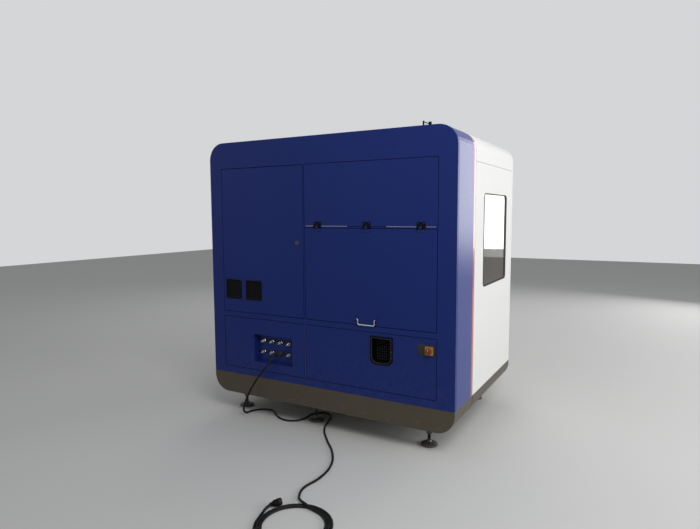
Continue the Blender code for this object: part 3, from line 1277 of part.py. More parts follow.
def make_rails():
    """The gantry's two guide rails, waisted below their heads, on the bed's side walls."""
    base = BAND_TOP + BED_HEIGHT + 2 * SEAT_GAP
    half, neck, third = RAIL_WIDTH / 2, RAIL_NECK / 2, RAIL_HEIGHT / 3
    section = [
        (-half, 0), (half, 0), (half, third), (neck, third * 3 / 2), (half, third * 2), (half, RAIL_HEIGHT),
        (-half, RAIL_HEIGHT), (-half, third * 2), (-neck, third * 3 / 2), (-half, third),
    ]
    rails = []
    for label, x in (("left", -RAIL_X), ("right", RAIL_X)):
        outline = [(x + a, base + b) for a, b in section]
        rails.append(piece(f"linear_rail_{label}", bright_metal(), prism(outline, "Y", BED_BACK, BED_FRONT)))
    return rails


def slat_outline(low, high, base, tip):
    """One slat's outline seen along Y: a straight foot and a row of pointed teeth."""
    pitch = (high - low) / SLAT_TEETH
    points = [(low, base), (high, base)]
    for i in range(SLAT_TEETH):
        right = high - pitch * i
        points += [(right, tip - SLAT_TOOTH), (right - pitch / 2, tip)]
    return points + [(low, tip - SLAT_TOOTH)]


def make_slat_table():
    """The cutting table: a welded frame whose toothed slats stand on edge across it."""
    across = BED_LENGTH / 2 - BED_WALL - RUNNING_GAP
    low, high = (-across, TABLE_BACK, TABLE_BASE), (across, BED_FRONT, TABLE_BASE + TABLE_DEPTH)
    wall = Vector((TABLE_FRAME, TABLE_FRAME, -OVERRUN))
    frame = box(low, high)
    well = box(Vector(low) + wall, Vector(high) - wall)
    reach = across - TABLE_FRAME / 2
    pitch = (BED_FRONT - TABLE_BACK - 2 * TABLE_FRAME) / (SLAT_COUNT + 1)
    slats = []
    for i in range(SLAT_COUNT):
        y = TABLE_BACK + TABLE_FRAME + pitch * (i + 1)
        outline = slat_outline(-reach, reach, SLAT_TIP - SLAT_HEIGHT, SLAT_TIP)
        slats.append(prism(outline, "Y", y - SLAT / 2, y + SLAT / 2))
    table = piece("slat_table", sheet_steel(), frame, cut=[well])
    joined = table.modifiers.new("slats", "BOOLEAN")
    joined.operation, joined.solver = "UNION", "EXACT"
    joined.object = tool_object("slat_table_slats", merged(*slats))
    return table


def make_scrap_drawer():
    """The scrap drawer: a sheet tray on the bed's ledges, its thick front and the finger grip cut in it."""
    tray_front = FRONT_Y - DRAWER_FRONT / 2
    back = FRONT_Y - DRAWER_LENGTH
    tray = box((DRAWER_ACROSS[0], back, DRAWER_UP[0]), (DRAWER_ACROSS[1], tray_front, DRAWER_UP[1]))
    margin = DRAWER_FRONT_MARGIN - SEAM_LINE
    front = bay_box(DRAWER_ACROSS, DRAWER_UP, FRONT_Y - DRAWER_FRONT, FRONT_Y, margin)
    wall = DRAWER_WALL
    well = box(
        (DRAWER_ACROSS[0] + wall, back + wall, DRAWER_UP[0] + wall),
        (DRAWER_ACROSS[1] - wall, FRONT_Y - DRAWER_FRONT, DRAWER_UP[1] + OVERRUN),
    )
    grip_z = (DRAWER_UP[0] + DRAWER_UP[1]) / 2
    grip = box(
        (-DRAWER_GRIP_WIDTH / 2, FRONT_Y - DRAWER_GRIP_DEPTH, grip_z - DRAWER_GRIP_HEIGHT / 2),
        (DRAWER_GRIP_WIDTH / 2, FRONT_Y + OVERRUN, grip_z + DRAWER_GRIP_HEIGHT / 2),
    )
    return piece("scrap_drawer", grey_paint(), tray, add=[front], cut=[well, grip])


def make_gantry():
    """The gantry beam on its saddles, the carriage on the beam and the cutting head on the carriage."""
    rail_top = BAND_TOP + BED_HEIGHT + 2 * SEAT_GAP + RAIL_HEIGHT
    beam_low = BAND_TOP + BED_HEIGHT + GANTRY_RISE
    beam_top = beam_low + GANTRY_HEIGHT
    half = RAIL_X + SADDLE_WIDTH / 2
    beam = box((-half, GANTRY_Y - GANTRY_WIDTH / 2, beam_low), (half, GANTRY_Y + GANTRY_WIDTH / 2, beam_top))
    saddles, slots = [], []
    for side in (-1, 1):
        x = side * RAIL_X
        saddles.append(box(
            (x - SADDLE_WIDTH / 2, GANTRY_Y - SADDLE_LENGTH / 2, rail_top - RAIL_HEIGHT / 2),
            (x + SADDLE_WIDTH / 2, GANTRY_Y + SADDLE_LENGTH / 2, beam_low + OVERRUN),
        ))
        slots.append(box(
            (x - RAIL_WIDTH / 2 - SEAT_GAP, GANTRY_Y - SADDLE_LENGTH, rail_top - RAIL_HEIGHT),
            (x + RAIL_WIDTH / 2 + SEAT_GAP, GANTRY_Y + SADDLE_LENGTH, rail_top + SEAT_GAP),
        ))
    face = GANTRY_Y + GANTRY_WIDTH / 2
    middle = (beam_low + beam_top) / 2
    guide = box(
        (-half + SADDLE_WIDTH, face - SHEET, middle - CROSS_RAIL_SIZE / 2),
        (half - SADDLE_WIDTH, face + CROSS_RAIL_SIZE / 2, middle + CROSS_RAIL_SIZE / 2),
    )
    hollow = box(
        (-half - OVERRUN, GANTRY_Y - GANTRY_WIDTH / 2 + BEAM_WALL, beam_low + BEAM_WALL),
        (half + OVERRUN, face - BEAM_WALL, beam_top - BEAM_WALL),
    )
    gantry = piece(
        "gantry_beam", bed_paint(), beam, add=[merged(*saddles), guide], cut=[merged(*slots), hollow]
    )
    back, front = face + RUNNING_GAP, face + CROSS_RAIL_SIZE / 2 + CARRIAGE_PLATE
    plate = box(
        (-CARRIAGE_WIDTH / 2, back, middle - CARRIAGE_HEIGHT / 2),
        (CARRIAGE_WIDTH / 2, front, middle + CARRIAGE_HEIGHT / 2),
    )
    channel = box(
        (-CARRIAGE_WIDTH, back - OVERRUN, middle - CROSS_RAIL_SIZE / 2 - SEAT_GAP),
        (CARRIAGE_WIDTH, face + CROSS_RAIL_SIZE / 2 + SEAT_GAP, middle + CROSS_RAIL_SIZE / 2 + SEAT_GAP),
    )
    carriage = piece("head_carriage", white_paint(), plate, cut=[channel], origin=(0, back, middle))
    tip = SLAT_TIP + NOZZLE_CLEARANCE
    head_y = front + SEAT_GAP + HEAD_DEPTH / 2
    body_low = tip + NOZZLE_HEIGHT + COLLAR_HEIGHT
    body = box(
        (-HEAD_WIDTH / 2, head_y - HEAD_DEPTH / 2, body_low),
        (HEAD_WIDTH / 2, head_y + HEAD_DEPTH / 2, body_low + HEAD_HEIGHT),
    )
    profile = [
        (0, 0), (NOZZLE_TIP_RADIUS, 0), (NOZZLE_TOP_RADIUS, NOZZLE_HEIGHT), (COLLAR_RADIUS, NOZZLE_HEIGHT),
        (COLLAR_RADIUS, NOZZLE_HEIGHT + COLLAR_HEIGHT + SHEET), (0, NOZZLE_HEIGHT + COLLAR_HEIGHT + SHEET),
    ]
    nozzle = turned(profile, (0, head_y, tip), (0, 0, 1))
    head = piece("cutting_head", bright_metal(), body, add=[nozzle], origin=(0, head_y, tip))
    return [gantry, carriage, head]


def make_laser_source():
    """The fiber laser source: a rack case with cooling fins along its top."""
    base = BAND_TOP + SEAT_GAP
    front, back = SERVICE_BACK - SOURCE_DEPTH, SERVICE_BACK
    case = box((SOURCE_X, front, base), (SOURCE_X + SOURCE_LENGTH, back, base + SOURCE_HEIGHT))
    pitch = SOURCE_LENGTH / SOURCE_FINS
    fins = [
        box(
            (SOURCE_X + pitch * (i + 1 / 2) - SOURCE_FIN / 2, front + SOURCE_FIN,
             base + SOURCE_HEIGHT - SHEET),
            (SOURCE_X + pitch * (i + 1 / 2) + SOURCE_FIN / 2, back - SOURCE_FIN,
             base + SOURCE_HEIGHT + SOURCE_FIN_DEPTH),
        )
        for i in range(SOURCE_FINS)
    ]
    return piece("laser_source", bed_paint(), case, add=[merged(*fins)])


def make_electrical_panel():
    """The mounting plate on the bulkhead, with its rows of drives, breakers and terminals."""
    back = SERVICE_BACK + STRIPE_WIDTH
    left = LEFT + MOUNT_PLATE_FROM_LEFT
    base = CABINET_BASE + MOUNT_PLATE_BASE
    plate = box((left, back - MOUNT_PLATE, base), (left + MOUNT_PLATE_WIDTH, back, base + MOUNT_PLATE_HEIGHT))
    modules = []
    run = RAIL_MODULES * (MODULE_WIDTH + MODULE_GAP) - MODULE_GAP
    start = left + (MOUNT_PLATE_WIDTH - run) / 2
    for row in range(RAIL_ROWS):
        low = base + MODULE_HEIGHT / 2 + ROW_PITCH * row
        for i in range(RAIL_MODULES):
            x = start + i * (MODULE_WIDTH + MODULE_GAP)
            depth = MODULE_DEPTH * (1 - row / (2 * RAIL_ROWS))
            modules.append(box(
                (x, back - MOUNT_PLATE - depth, low),
                (x + MODULE_WIDTH, back - MOUNT_PLATE / 2, low + MODULE_HEIGHT),
            ))
    return piece("electrical_panel", sheet_steel(), plate, add=[merged(*modules)])


def make_supply_lead():
    """The black supply lead: its gland in the recess, its run down and along the floor, its coil and plug."""
    x, _, z = LEAD_EXIT
    root = FACE_Y + RECESS_DEPTH - COUPLING_STRIP_SHEET - 2 * SEAT_GAP
    nut = prism(hexagon(x, z, GLAND_HEX), "Y", root - GLAND_DEPTH / 2, root)
    profile = [
        (0, 0), (GLAND_RADIUS, 0), (GLAND_RADIUS, GLAND_DEPTH / 2 + SHEET),
        (LEAD_DIAMETER / 2 + RUNNING_GAP / 2, GLAND_DEPTH / 2 + SHEET + GLAND_TAPER),
        (0, GLAND_DEPTH / 2 + SHEET + GLAND_TAPER),
    ]
    dome = turned(profile, (x, root - GLAND_DEPTH / 2 + SHEET, z), (0, -1, 0), SMALL_ROUND_SIDES)
    gland = piece("lead_gland", black_plastic(), nut, add=[dome])
    path = smooth_route(LEAD_ROUTE, LEAD_DIAMETER * LEAD_STEP_SHARE)
    lead = bar_curve("supply_lead", path, LEAD_DIAMETER / 2, cable_rubber())
    cx, cy = COIL_CENTRE
    outer, inner = COIL_RADIUS + LEAD_DIAMETER * 3 / 2, COIL_RADIUS - LEAD_DIAMETER * 3 / 2
    low, high = SEAT_GAP, SEAT_GAP + 2 * LEAD_DIAMETER
    ring = turned([(0, low), (outer, low), (outer, high), (0, high)], (cx, cy, 0), (0, 0, 1), COIL_SIDES)
    hole_profile = [(0, -OVERRUN), (inner, -OVERRUN), (inner, high + OVERRUN), (0, high + OVERRUN)]
    hole = turned(hole_profile, (cx, cy, 0), (0, 0, 1), COIL_SIDES)
    coil = piece("lead_coil", cable_rubber(), ring, cut=[hole])
    turn = math.radians(PLUG_PLACE)
    outward, along = Vector((math.cos(turn), math.sin(turn), 0)), Vector((math.sin(turn), -math.cos(turn), 0))
    middle = Vector((cx, cy, PLUG_RADIUS + SEAT_GAP)) + outward * (outer + PLUG_RADIUS + SEAT_GAP)
    rear = middle - along * PLUG_LENGTH / 2
    profile = [
        (0, 0), (LEAD_DIAMETER / 2 + RUNNING_GAP, 0), (PLUG_COLLAR, PLUG_LENGTH / 3),
        (PLUG_RADIUS, PLUG_LENGTH / 3),
        (PLUG_RADIUS, PLUG_LENGTH), (0, PLUG_LENGTH),
    ]
    plug = piece("lead_plug", black_plastic(), turned(profile, rear, along, SMALL_ROUND_SIDES))
    return [gland, lead, coil, plug]


def main():
    """Builds the machine."""
    clear_scene()
    make_plinths()
    make_feet()
    make_covers()
    make_side_window()
    make_service_face()
    make_fixed_panels()
    make_hatch_hinges()
    hatch = make_hatch()
    carried(make_hatch_handle(), hatch)
    door = make_service_door()
    for part in (make_door_lock(), *make_fans()):
        carried(part, door)
    make_connection_panel()
    make_exhaust_port()
    make_main_switch()
    make_lamp_socket()
    make_front_fascia()
    make_front_doors()
    make_console()
    make_bed()
    make_rails()
    make_slat_table()
    make_scrap_drawer()
    gantry, carriage, head = make_gantry()
    carried(head, carriage)
    carried(carriage, gantry)
    make_laser_source()
    make_electrical_panel()
    make_supply_lead()


main()
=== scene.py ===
"""Looks for a small enclosed fiber laser cutting machine: finishes, fine pieces, supply lead and stage.

Sizes are in metres and +Z is up. The blue service face looks along -Y.
"""

import functools
import math

import bmesh
import bpy
from bpy.props import FloatProperty, FloatVectorProperty, IntProperty, PointerProperty
from mathutils import Matrix, Vector


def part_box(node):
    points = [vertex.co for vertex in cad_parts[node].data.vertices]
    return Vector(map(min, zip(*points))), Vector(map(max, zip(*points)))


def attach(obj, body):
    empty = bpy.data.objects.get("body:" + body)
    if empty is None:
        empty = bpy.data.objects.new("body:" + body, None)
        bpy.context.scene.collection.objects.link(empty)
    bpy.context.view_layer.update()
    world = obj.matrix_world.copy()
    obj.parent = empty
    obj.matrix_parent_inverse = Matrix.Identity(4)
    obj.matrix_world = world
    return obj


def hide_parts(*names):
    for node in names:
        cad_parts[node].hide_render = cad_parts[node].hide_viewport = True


bl_info = {
    "name": "Fiber laser cutting machine",
    "version": (1, 0, 0),
    "blender": (4, 5, 0),
    "location": "3D View > Sidebar > Laser Cutter",
    "description": "Finishes and fine pieces for an enclosed sheet-metal laser cutter",
    "category": "Object",
}

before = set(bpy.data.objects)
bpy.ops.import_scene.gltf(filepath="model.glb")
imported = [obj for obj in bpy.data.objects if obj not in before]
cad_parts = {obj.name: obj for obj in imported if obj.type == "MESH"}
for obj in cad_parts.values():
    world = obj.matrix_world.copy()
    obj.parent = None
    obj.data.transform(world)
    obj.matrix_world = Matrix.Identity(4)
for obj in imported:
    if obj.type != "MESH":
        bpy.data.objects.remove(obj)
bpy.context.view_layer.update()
CABINET = "cabinet"


def middle_of(node):
    """The middle of a node's box."""
    low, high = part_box(node)
    return (low + high) / 2


class Value:
    """A shader socket that Python's operators join to Math nodes."""

    def __init__(self, nodes, socket):
        self.nodes, self.socket = nodes, socket

    def maths(self, operation, *others, clamp=False):
        sockets = {0: self, **dict(enumerate(others, 1))}
        return self.nodes.node("ShaderNodeMath", {"operation": operation, "use_clamp": clamp}, sockets)

    def __add__(self, other):
        return self.maths("ADD", other)

    def __mul__(self, other):
        return self.maths("MULTIPLY", other)

    def __sub__(self, other):
        return self.maths("SUBTRACT", other)

    def __rsub__(self, other):
        return (self * -1.0).maths("ADD", other)

    def __truediv__(self, other):
        return self.maths("DIVIDE", other)

    def clamped(self):
        return self.maths("ADD", 0.0, clamp=True)

    def above(self, edge, soft=0.0):
        """1 where the value is over an edge, with a soft step if one is given."""
        if not soft:
            return self.maths("GREATER_THAN", edge)
        sockets = {"Value": self, "From Min": edge - soft, "From Max": edge + soft}
        return self.nodes.node("ShaderNodeMapRange", {"interpolation_type": "SMOOTHSTEP"}, sockets)

    def below(self, edge, soft=0.0):
        return 1.0 - self.above(edge, soft)

    def between(self, low, high, soft=0.0):
        return self.above(low, soft) * self.below(high, soft)

    def mixed(self, low, high):
        """A colour between two, with this value as the factor."""
        pair = [colour if isinstance(colour, Value) else shade(colour) for colour in (low, high)]
        sockets = {"Factor": self, 6: pair[0], 7: pair[1]}
        return self.nodes.node("ShaderNodeMix", {"data_type": "RGBA"}, sockets, output=2)


class Nodes:
    """A node tree that grows by calls."""

    def __init__(self, tree):
        self.tree = tree

    def node(self, kind, settings=None, sockets=None, output=0):
        made = self.tree.nodes.new(kind)
        for name, setting in (settings or {}).items():
            setattr(made, name, setting)
        for name, value in (sockets or {}).items():
            self.join(value, made.inputs[name])
        return Value(self, made.outputs[output]) if made.outputs else None

    def join(self, value, socket):
        """Links a value to a socket, or sets the socket to a number or a colour."""
        if isinstance(value, Value):
            self.tree.links.new(value.socket, socket)
        else:
            socket.default_value = value


class Finish(Nodes):
    """A procedural material on a Principled BSDF."""

    def __init__(self, name, roughness=0.5, metallic=0.0, **levels):
        self.material = bpy.data.materials.new(name)
        self.material.use_nodes = True
        super().__init__(self.material.node_tree)
        self.surface = self.tree.nodes["Principled BSDF"]
        self.set("Roughness", roughness)
        self.set("Metallic", metallic)
        for socket, level in levels.items():
            self.set(socket.replace("_", " ").title().replace("Ior", "IOR"), level)
        self.place = self.node("ShaderNodeTexCoord", output="Object")

    def set(self, name, value):
        self.join(value, self.surface.inputs[name])

    def axes(self):
        split = self.node("ShaderNodeSeparateXYZ", sockets={0: self.place})
        return [Value(self, socket) for socket in split.socket.node.outputs]

    def noise(self, scale, detail=3.0, stretch=None):
        """Fractal noise about 0.5, drawn out along an axis by a stretch."""
        place = self.place
        if stretch:
            place = self.node("ShaderNodeMapping", sockets={0: place, "Scale": stretch})
        sockets = {"Vector": place, "Scale": scale, "Detail": detail, "Roughness": 0.55}
        return self.node("ShaderNodeTexNoise", sockets=sockets)

    def cells(self, scale, feature="F1"):
        sockets = {"Vector": self.place, "Scale": scale}
        return self.node("ShaderNodeTexVoronoi", {"feature": feature}, sockets)

    def follow(self, cloud, low, high, roughness, spread):
        """Colour and roughness that go with a cloud."""
        self.set("Base Color", cloud.mixed(low, high))
        self.set("Roughness", (cloud * spread + roughness).clamped())

    def grain(self, scale, distance, strength, edge=0.0, detail=2.0):
        self.bump(self.noise(scale, detail), distance, strength, edge)

    def bump(self, height, distance, strength, edge=0.0):
        """Relief in metres, over edges softened to a radius."""
        sockets = {"Height": height, "Distance": distance, "Strength": strength}
        if edge:
            sockets["Normal"] = self.node("ShaderNodeBevel", {"samples": 4}, {"Radius": edge})
        self.set("Normal", self.node("ShaderNodeBump", sockets=sockets))


def shade(colour, level=1.0):
    """A colour at another level, with its alpha."""
    return (*[channel * level for channel in colour[:3]], 1.0)


class CabinetFinishes(bpy.types.PropertyGroup):
    """The colours and surface texture of the cabinet's coatings."""

    # The navy is set at about half the real paint's level: the face's own paint, with part of its shade
    # painted in.
    navy: FloatVectorProperty(
        name="Navy", description="Powder coat of the service face", subtype="COLOR", size=3, min=0, max=1,
        default=(0.0085, 0.023, 0.155),
    )
    white: FloatVectorProperty(
        name="White", description="Powder coat of the covers", subtype="COLOR", size=3, min=0, max=1,
        default=(0.74, 0.745, 0.73),
    )
    # The band's colour is darker than its grey paint: part of the shade on the band's front is painted into
    # it.
    base: FloatVectorProperty(
        name="Base", description="Grey-brown paint of the base band", subtype="COLOR", size=3, min=0, max=1,
        default=(0.074, 0.06, 0.04),
    )
    accent: FloatVectorProperty(
        name="Accent", description="Red strip between the sections", subtype="COLOR", size=3, min=0, max=1,
        default=(0.62, 0.075, 0.03),
    )
    peel: FloatProperty(
        name="Orange peel", description="Width of the coat's ripples", subtype="DISTANCE", unit="LENGTH",
        default=0.0022, min=0.0005, max=0.02,
    )
    edge: FloatProperty(
        name="Edge radius", description="Softened sheet edges", subtype="DISTANCE", unit="LENGTH",
        default=0.0012, min=0.0, max=0.01,
    )


def powder_coat(name, colour, roughness, gloss, spread, dust=0.0):
    """Powder-coated sheet: orange peel, faint batch mottling, softened edges, dust that gathers low down."""
    coatings = bpy.context.scene.laser_finishes
    paint = Finish(name, roughness, specular_ior_level=gloss)
    mottle = paint.noise(2.3, detail=4.0)
    streaks = paint.noise(9.0, stretch=(1.0, 1.0, 0.12))
    low_down = paint.axes()[2].below(0.5, 0.35)
    settled = (paint.noise(38.0, detail=5.0).above(0.52, 0.14) * low_down * dust).clamped()
    body = (mottle * 0.6 + streaks * 0.4).mixed(shade(colour, 1.0 - spread), shade(colour, 1.0 + spread))
    grime = (0.16, 0.145, 0.12)
    sheen = paint.noise(60.0, detail=2.0) * 0.1 + (roughness - 0.05)
    paint.set("Base Color", settled.mixed(body, grime))
    paint.set("Roughness", (sheen + settled * 0.3).clamped())
    paint.grain(1.0 / coatings.peel, 0.00009, 0.55, coatings.edge, 1.5)
    return paint.material


def navy_coat(name, gloss=0.2, level=1.0):
    # A level over 1 gives a lit copy of the same paint, which is painted light.
    navy = shade(bpy.context.scene.laser_finishes.navy, level)
    return powder_coat(name, navy, 0.36, gloss, 0.06, dust=0.05)


def white_coat(name):
    return powder_coat(name, bpy.context.scene.laser_finishes.white, 0.6, 0.1, 0.02, dust=0.06)


def base_coat(name):
    """The base band's satin paint, scuffed and dusty along its lower edge."""
    coatings = bpy.context.scene.laser_finishes
    paint = Finish(name, 0.45, coat_weight=0.1, coat_roughness=0.2, specular_ior_level=0.3)
    scuffs = paint.noise(14.0, detail=6.0, stretch=(1.0, 1.0, 2.6)).above(0.6, 0.05)
    scuffed = (scuffs * paint.axes()[2].below(0.21, 0.06) * 0.22).clamped()
    tone = paint.noise(3.1, detail=4.0).mixed(shade(coatings.base, 0.88), shade(coatings.base, 1.14))
    paint.set("Base Color", scuffed.mixed(tone, (0.17, 0.16, 0.14)))
    paint.set("Roughness", (scuffed * 0.3 + paint.noise(50.0) * 0.12 + 0.38).clamped())
    paint.grain(1.0 / coatings.peel, 0.0001, 0.6, coatings.edge, 1.5)
    return paint.material


def accent_strip(name):
    """The strip's smooth red plastic skin."""
    coatings = bpy.context.scene.laser_finishes
    skin = Finish(name, 0.3, coat_weight=0.5, coat_roughness=0.08)
    tone = skin.noise(4.0, stretch=(1.0, 1.0, 0.3))
    skin.set("Base Color", tone.mixed(shade(coatings.accent, 0.9), shade(coatings.accent, 1.08)))
    skin.set("Roughness", skin.noise(80.0) * 0.08 + 0.26)
    skin.grain(240.0, 0.00006, 0.4, 0.0008)
    return skin.material


def moulded_plastic(name, colour, roughness, grain=900.0, depth=0.00008):
    """Moulded plastic with a fine spark-eroded grain."""
    plastic = Finish(name, roughness, specular_ior_level=0.1)
    plastic.follow(plastic.noise(22.0), shade(colour, 0.86), shade(colour, 1.18), roughness - 0.06, 0.12)
    plastic.grain(grain, depth, 0.7, 0.0006)
    return plastic.material


def chromed(name, dull=(0.62, 0.62, 0.63), bright=(0.82, 0.82, 0.83)):
    """Bright plating with faint haze and fingerprints."""
    plate = Finish(name, 0.12, metallic=1.0)
    haze = plate.noise(34.0, detail=4.0)
    plate.set("Base Color", haze.mixed(dull, bright))
    plate.set("Roughness", (haze.above(0.55, 0.12) * 0.16 + 0.09).clamped())
    plate.grain(420.0, 0.00003, 0.4, 0.0005)
    return plate.material


def brushed_steel(name, colour=(0.5, 0.5, 0.49), along=(0.02, 1.0, 1.0), roughness=0.34):
    """Steel with drawn-out grinding lines."""
    steel = Finish(name, roughness, metallic=1.0)
    lines = steel.noise(420.0, stretch=along)
    cloud = steel.noise(5.0, detail=4.0)
    steel.set("Base Color", (lines * 0.5 + cloud * 0.5).mixed(shade(colour, 0.78), shade(colour, 1.18)))
    steel.set("Roughness", (lines * 0.18 + cloud * 0.1 + (roughness - 0.12)).clamped())
    steel.bump(lines, 0.00006, 0.6, 0.0006)
    return steel.material


def slat_steel(name):
    """Mild steel slats: blue-grey mill scale, with rust bloom and burnt tips from cutting."""
    steel = Finish(name, 0.5, metallic=1.0)
    tips = steel.axes()[2].above(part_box("slat_table")[1].z - 0.016, 0.012)
    cloud = steel.noise(26.0, detail=6.0)
    scale = cloud.mixed((0.2, 0.21, 0.23), (0.42, 0.42, 0.42))
    burnt = tips * steel.noise(140.0).above(0.48, 0.1)
    rust = steel.noise(60.0, detail=6.0).above(0.6, 0.06) * 0.6 + burnt * 0.5
    steel.set("Base Color", rust.clamped().mixed(scale, (0.2, 0.085, 0.035)))
    steel.set("Metallic", (1.0 - rust.clamped() * 0.8).clamped())
    steel.set("Roughness", (rust * 0.3 + cloud * 0.2 + 0.32).clamped())
    steel.bump(steel.noise(300.0, detail=4.0), 0.00025, 0.6, 0.0004)
    return steel.material


def tinted_glass(name, colour, see_through):
    """A dark filter pane: glossy, with faint smears."""
    pane = Finish(name, 0.05, coat_weight=1.0, coat_roughness=0.02, ior=1.5)
    smears = pane.noise(7.0, detail=5.0, stretch=(1.0, 2.4, 0.7))
    dirt = pane.noise(90.0, detail=4.0).above(0.62, 0.06)
    pane.set("Base Color", smears.mixed(shade(colour, 0.8), shade(colour, 1.25)))
    pane.set("Roughness", (smears.above(0.5, 0.2) * 0.05 + dirt * 0.04 + 0.02).clamped())
    pane.set("Alpha", (dirt * 0.1 + smears * 0.08 + see_through).clamped())
    return pane.material


def cable_jacket(name):
    """Matt black jacket with scuffs, dust and faint print-free ripples along its length."""
    jacket = Finish(name, 0.5, specular_ior_level=0.2)
    dust = jacket.noise(55.0, detail=5.0)
    grey = dust.above(0.56, 0.1) * 0.35
    jacket.set("Base Color", grey.clamped().mixed((0.0035, 0.0035, 0.0038), (0.032, 0.031, 0.028)))
    jacket.set("Roughness", (grey * 0.5 + dust * 0.1 + 0.42).clamped())
    jacket.bump(jacket.noise(700.0), 0.00012, 0.6)
    return jacket.material


def rubber(name):
    seal = Finish(name, 0.7)
    seal.follow(seal.noise(60.0, detail=4.0), (0.01, 0.01, 0.01), (0.022, 0.021, 0.02), 0.62, 0.14)
    seal.grain(500.0, 0.0001, 0.6)
    return seal.material


def hammered_paint(name):
    """The bed's and beam's heavy enamel."""
    paint = Finish(name, 0.42, coat_weight=0.3, coat_roughness=0.2)
    paint.follow(paint.noise(4.0, detail=4.0), (0.2, 0.21, 0.22), (0.3, 0.31, 0.32), 0.35, 0.14)
    paint.bump(paint.cells(420.0, "SMOOTH_F1"), 0.0003, 0.5, 0.0015)
    return paint.material


def galvanised_sheet(name):
    """Zinc-coated sheet with its crystal spangle."""
    sheet = Finish(name, 0.4, metallic=1.0)
    spangle = sheet.cells(95.0)
    level = spangle * 0.5 + sheet.noise(5.0, detail=4.0) * 0.5
    sheet.follow(level, (0.36, 0.37, 0.38), (0.66, 0.67, 0.68), 0.26, 0.28)
    sheet.bump(spangle, 0.00006, 0.5, 0.0006)
    return sheet.material


def foot_pad(name):
    """Black nylon pad with floor dust on its skirt."""
    pad = Finish(name, 0.6)
    dust = pad.noise(70.0, detail=5.0).above(0.48, 0.14) * pad.axes()[2].below(0.022, 0.018) * 0.55
    pad.follow(dust, (0.01, 0.01, 0.01), (0.2, 0.185, 0.16), 0.48, 0.35)
    pad.grain(420.0, 0.0001, 0.6)
    return pad.material


def black_oxide(name):
    """Oiled black-oxide steel, slightly mottled."""
    steel = Finish(name, 0.28, metallic=1.0)
    steel.follow(steel.noise(90.0, detail=4.0), (0.05, 0.05, 0.052), (0.15, 0.145, 0.14), 0.18, 0.22)
    steel.grain(600.0, 0.00004, 0.5)
    return steel.material


def idle_screen(name):
    """A sheet outline with round cuts beside a column of soft tiles, behind glossy glass."""
    screen = Finish(name, 0.08, coat_weight=1.0, coat_roughness=0.03)
    low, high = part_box("console_screen")
    x, _, z = screen.axes()
    across = (high.x - x) / (high.x - low.x)
    up = (z - low.z) / (high.z - low.z)
    sheet = across.between(0.05, 0.68, 0.004) * up.between(0.12, 0.88, 0.004)
    cell_a = (across * 9.0).maths("FRACT") - 0.5
    cell_b = (up * 7.0).maths("FRACT") - 0.5
    away = (cell_a * cell_a + cell_b * cell_b).maths("SQRT")
    rings = away.between(0.22, 0.3, 0.02) * across.between(0.111, 0.556) * up.between(0.286, 0.857)
    rows = (up * 6.0).maths("FRACT").between(0.16, 0.84, 0.03) * up.between(0.02, 0.99)
    tiles = across.between(0.74, 0.94, 0.004) * rows
    smudges = screen.noise(30.0, detail=4.0)
    back = smudges.mixed((0.008, 0.011, 0.016), (0.013, 0.017, 0.024))
    with_sheet = sheet.mixed(back, (0.05, 0.075, 0.1))
    with_rings = rings.mixed(with_sheet, (0.3, 0.58, 0.62))
    shown = tiles.mixed(with_rings, (0.1, 0.16, 0.22))
    screen.set("Base Color", back)
    screen.set("Emission Color", shown)
    screen.set("Emission Strength", 0.9)
    screen.set("Roughness", (smudges.above(0.52, 0.1) * 0.14 + 0.05).clamped())
    return screen.material


def frame_black(name):
    """The frame's own flat black, for small parts that get little light."""
    return bpy.data.materials["black_plastic"]


def amber_plate(name):
    return moulded_plastic(name, bpy.context.scene.laser_service.amber, 0.38)


